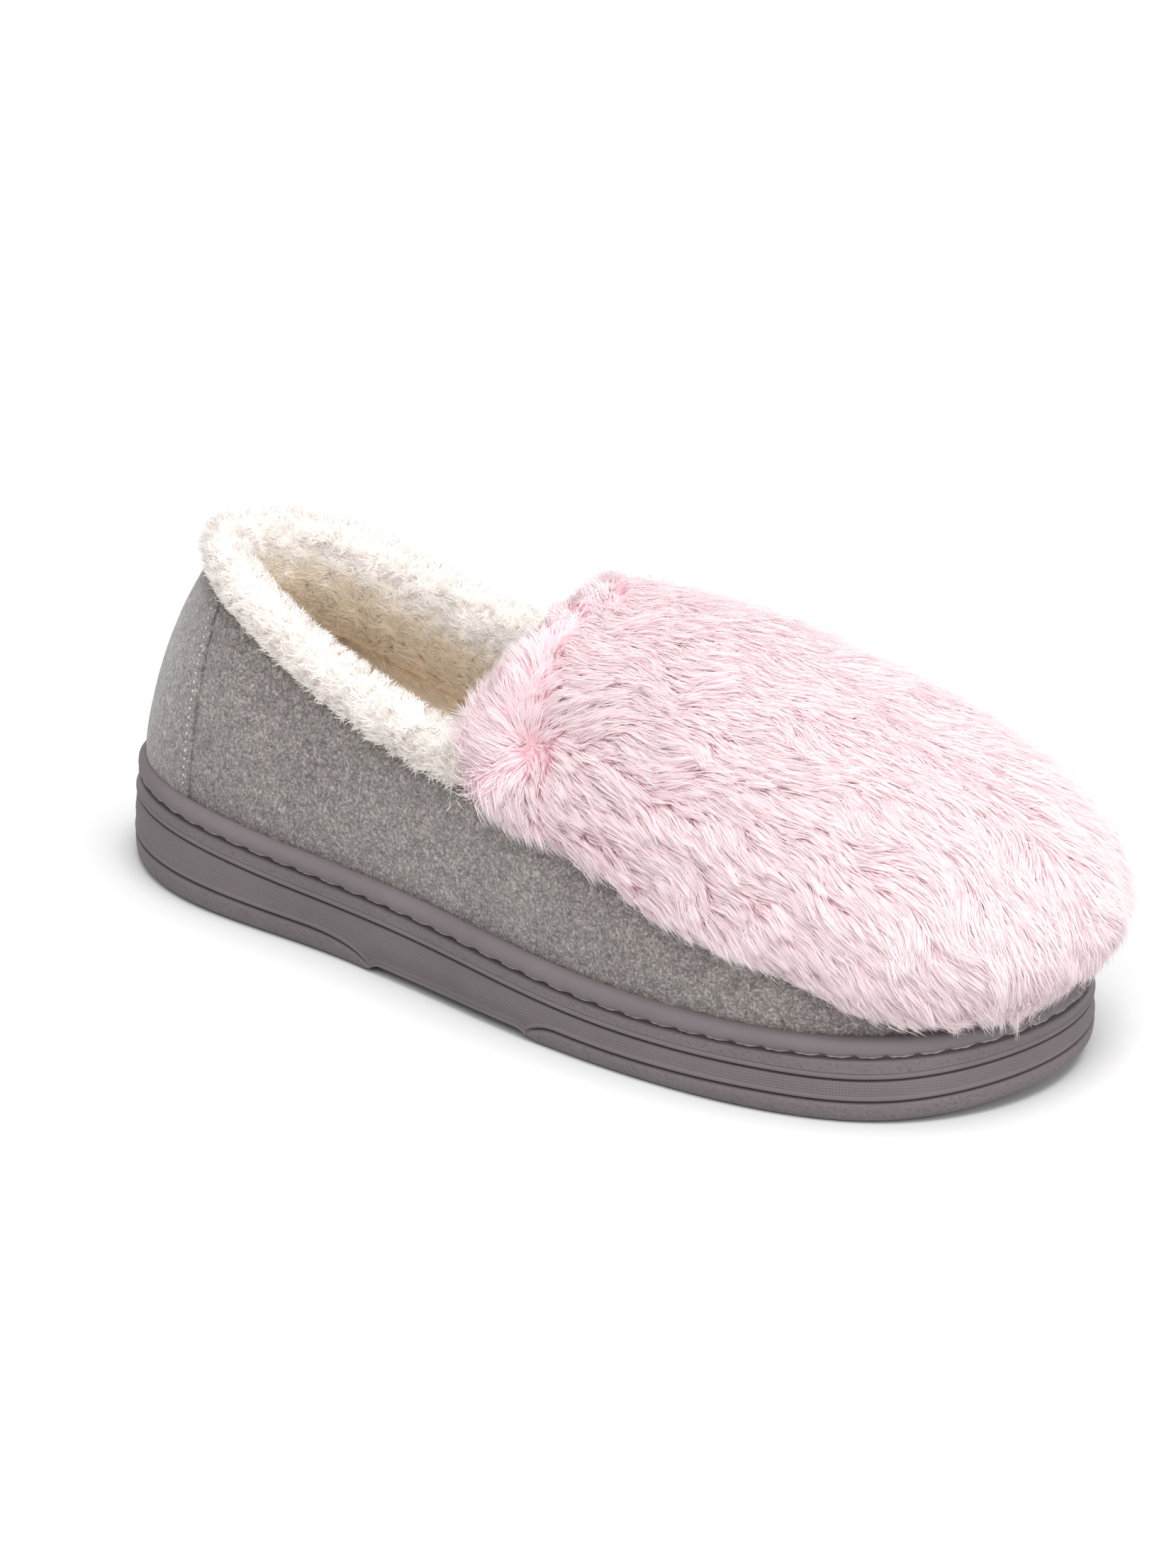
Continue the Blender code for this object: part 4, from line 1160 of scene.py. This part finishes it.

# %% [markdown]
# ## The long fur
#
# The front of the slipper is covered in long pale pink fur. The working model gives the outside of the pile.
# What shows between the hairs lies in shade, so a pink cloth in a deeper pink, which is painted shade, lies
# about
# halfway down: every point of a copy moves that far back to the suede. The blades grow from the cloth and end
# about at the working model's surface.
#
# How fur is combed is most of its look. A small field of directions says where each blade lies: to the toe
# over the foot, down and to the toe at the sides, back over the opening along its edge, and in a whirl round
# each corner of the opening.

# %% The cloth under the fur
CLOTH_SHARE = 0.58
fur_cloth = smooth_copy("fur_apron", "fur_cloth", 2)
fur_outside = BVHTree.FromObject(fur_cloth, bpy.context.evaluated_depsgraph_get())
places = spots(fur_cloth.data).astype(float)
on_suede, _ = nearest(upper_tree, places)
places = on_suede + (places - on_suede) * CLOTH_SHARE
fur_cloth.data.vertices.foreach_set("co", places.astype(np.float32).ravel())
fur_cloth.data.update()
# The cloth's deeper pink is painted shade, the shade deep in the fur.
pink_shade_cloth = mottled(
    "pink_shade_cloth", (252, 222, 229), (254, 238, 242), 5.0, 1.5, 1.0, details=(4.0, 3.0), roughness=0.95
)
fur_cloth.data.materials.append(pink_shade_cloth)
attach(fur_cloth, "root")
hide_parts("fur_apron")
fur_low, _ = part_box("fur_apron")
print("fur cloth faces:", len(fur_cloth.data.polygons))


# %% How the fur is combed
def fade(value, start, end):
    """0 at start, 1 at end, smooth between."""
    return ease((value - start) / (end - start))


WHIRLS = np.array([[0.004, -0.031, 0.068], [0.004, 0.031, 0.068]])
WHIRL_SIZE = 15 * MM
PARTING = 14 * MM  # from the edge of the opening
UPSTREAM = np.array([-0.8, 0.0, 0.75])
FLANK_LAY = np.array([0.72, 0.35, -0.62])
TOE_DROP = 0.9


def comb(places):
    """The direction in which the fur lies at each place."""
    side = np.sign(places[:, 1])
    down = np.degrees(np.arctan2(np.abs(places[:, 1]), places[:, 2] - FOOT_LINE_HEIGHT))
    aside = fade(down, 25, 75)[:, None]
    ahead = np.ones(len(places))
    flank = np.stack([ahead, side, ahead], -1) * FLANK_LAY
    spread = 0.25 * side * fade(places[:, 0], 0.02, 0.11)
    forward = np.stack([ahead, spread, -TOE_DROP * fade(places[:, 0], 0.085, 0.12)], -1)
    field = forward * (1 - aside) + flank * aside
    from_edge = places[:, 0] - fur_low[0] + 3.5 * MM * smooth_field(places, 16 * MM, 41)
    back = fade(from_edge, PARTING + 4 * MM, PARTING - 4 * MM)[:, None]
    outwards = side[:, None] * np.array([0.0, 0.3, 0.0])
    field = field * (1 - back) + (UPSTREAM + outwards * aside) * back
    for whirl in WHIRLS:
        away = places - whirl
        far = np.linalg.norm(away, axis=1)
        near = np.exp(-((far / WHIRL_SIZE) ** 2))[:, None]
        field = field * (1 - near) + unit(away) * near * 1.2
    return unit(field)


def wander(field, normals, angle):
    """Turn each direction in the plane of the cloth."""
    flat = unit(field - normals * (field * normals).sum(1, keepdims=True))
    across = np.cross(normals, flat)
    return flat * np.cos(angle)[:, None] + across * np.sin(angle)[:, None]


# %% The fur
FUR_PIECES, FUR_BLADES, FUR_SEED = 4, 46000, 14
LEAST_PILE = 4.0 * MM  # how high the fringe stands at the hem
TOE_START, TOE_END = 0.095, 0.125
GUARD_SHARE = 0.12
under_fur, cloth_copy = twin(upper, "under_fur"), twin(fur_cloth, "cloth_copy")
pick(under_fur, cloth_copy)
bpy.ops.object.join()
under_tree = BVHTree.FromObject(under_fur, bpy.context.evaluated_depsgraph_get())
bpy.data.objects.remove(under_fur)


def above_hem(places, normals):
    """Half at the very hem, 0 on the back of the cloth, 1 from a little way in."""
    outside = ((normals * from_foot_line(places)).sum(1) > -0.2) | (normals[:, 0] < -0.5)
    on_suede, _ = nearest(upper_tree, places)
    thick = np.linalg.norm(places - on_suede, axis=1) / CLOTH_SHARE
    return outside * (0.5 + 0.5 * fade(thick, 1.5 * MM, 3.5 * MM))


# The deeper pink at the roots is painted shade between the locks.
PINK = fibre("pink_fur", (252, 227, 233), (252, 241, 243), (251, 245, 246), 0.7, 0.55)
blade_total = FUR_PIECES * FUR_BLADES
roots, normals, draw = scatter(fur_cloth, blade_total, FUR_SEED, above_hem)
top, _ = nearest(fur_outside, roots)
pile = np.maximum(np.linalg.norm(top - roots, axis=1), LEAST_PILE)
turn = 0.22 * smooth_field(roots, 16 * MM, 42) + 0.1 * smooth_field(roots, 5 * MM, 43)
combed = wander(comb(roots), normals, turn + draw.normal(0, 0.16, blade_total))
low_down = fade(pile, 6.0 * MM, LEAST_PILE)
from_edge = roots[:, 0] - fur_low[0]
at_opening = fade(from_edge, 12 * MM, 2 * MM)
at_toe = fade(roots[:, 0], TOE_START, TOE_END)
guard = draw.random(blade_total) < GUARD_SHARE  # the few long hairs that stand out of the pile
tips_past = (5.4 + 6.0 * at_opening + 3.0 * at_toe) * MM
length = (0.95 * pile + tips_past) * draw.uniform(0.75, 1.15, blade_total)
length *= 1 + 0.25 * guard
raise_up = 0.05 * smooth_field(roots, 9 * MM, 44) - 0.35 * low_down
lean = [draw.normal(mean, 0.14, blade_total) + raise_up for mean in (1.12, 0.38)]
lean[1] += 0.35 * guard
reach = draw.uniform(0.75, 1.2, blade_total) * pile * (1 + 0.4 * guard)
height = [reach * 0.8, reach * 1.1]
hug = 0.85 * fade(from_edge, 5 * MM, 14 * MM)
joints, ups = march(under_tree, roots, normals, combed, length, lean, height, hug)
flank = fade(np.abs(normals[:, 1]), 0.45, 0.8)
loose = draw.uniform(0.0, 0.1, blade_total) + 0.12 * flank + 0.35 * low_down
small = gather(joints, roots, 2.6 * MM, loose, 34)
locks = gather(joints, roots, 7.0 * MM, 0.5 * loose, 35)
width = draw.uniform(0.22, 0.34, blade_total) * MM
order = np.argsort(roots[:, 0], kind="stable")
for number in range(FUR_PIECES):
    part = order[number * FUR_BLADES:(number + 1) * FUR_BLADES]
    kept = small[part] - small[part].min()
    fur = coat(f"pink_fur_{number + 1}", joints[:, part], ups[:, part], width[part], draw, kept)
    fur.data.materials.append(PINK)
    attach(fur, "root")
print("fur blades:", blade_total)
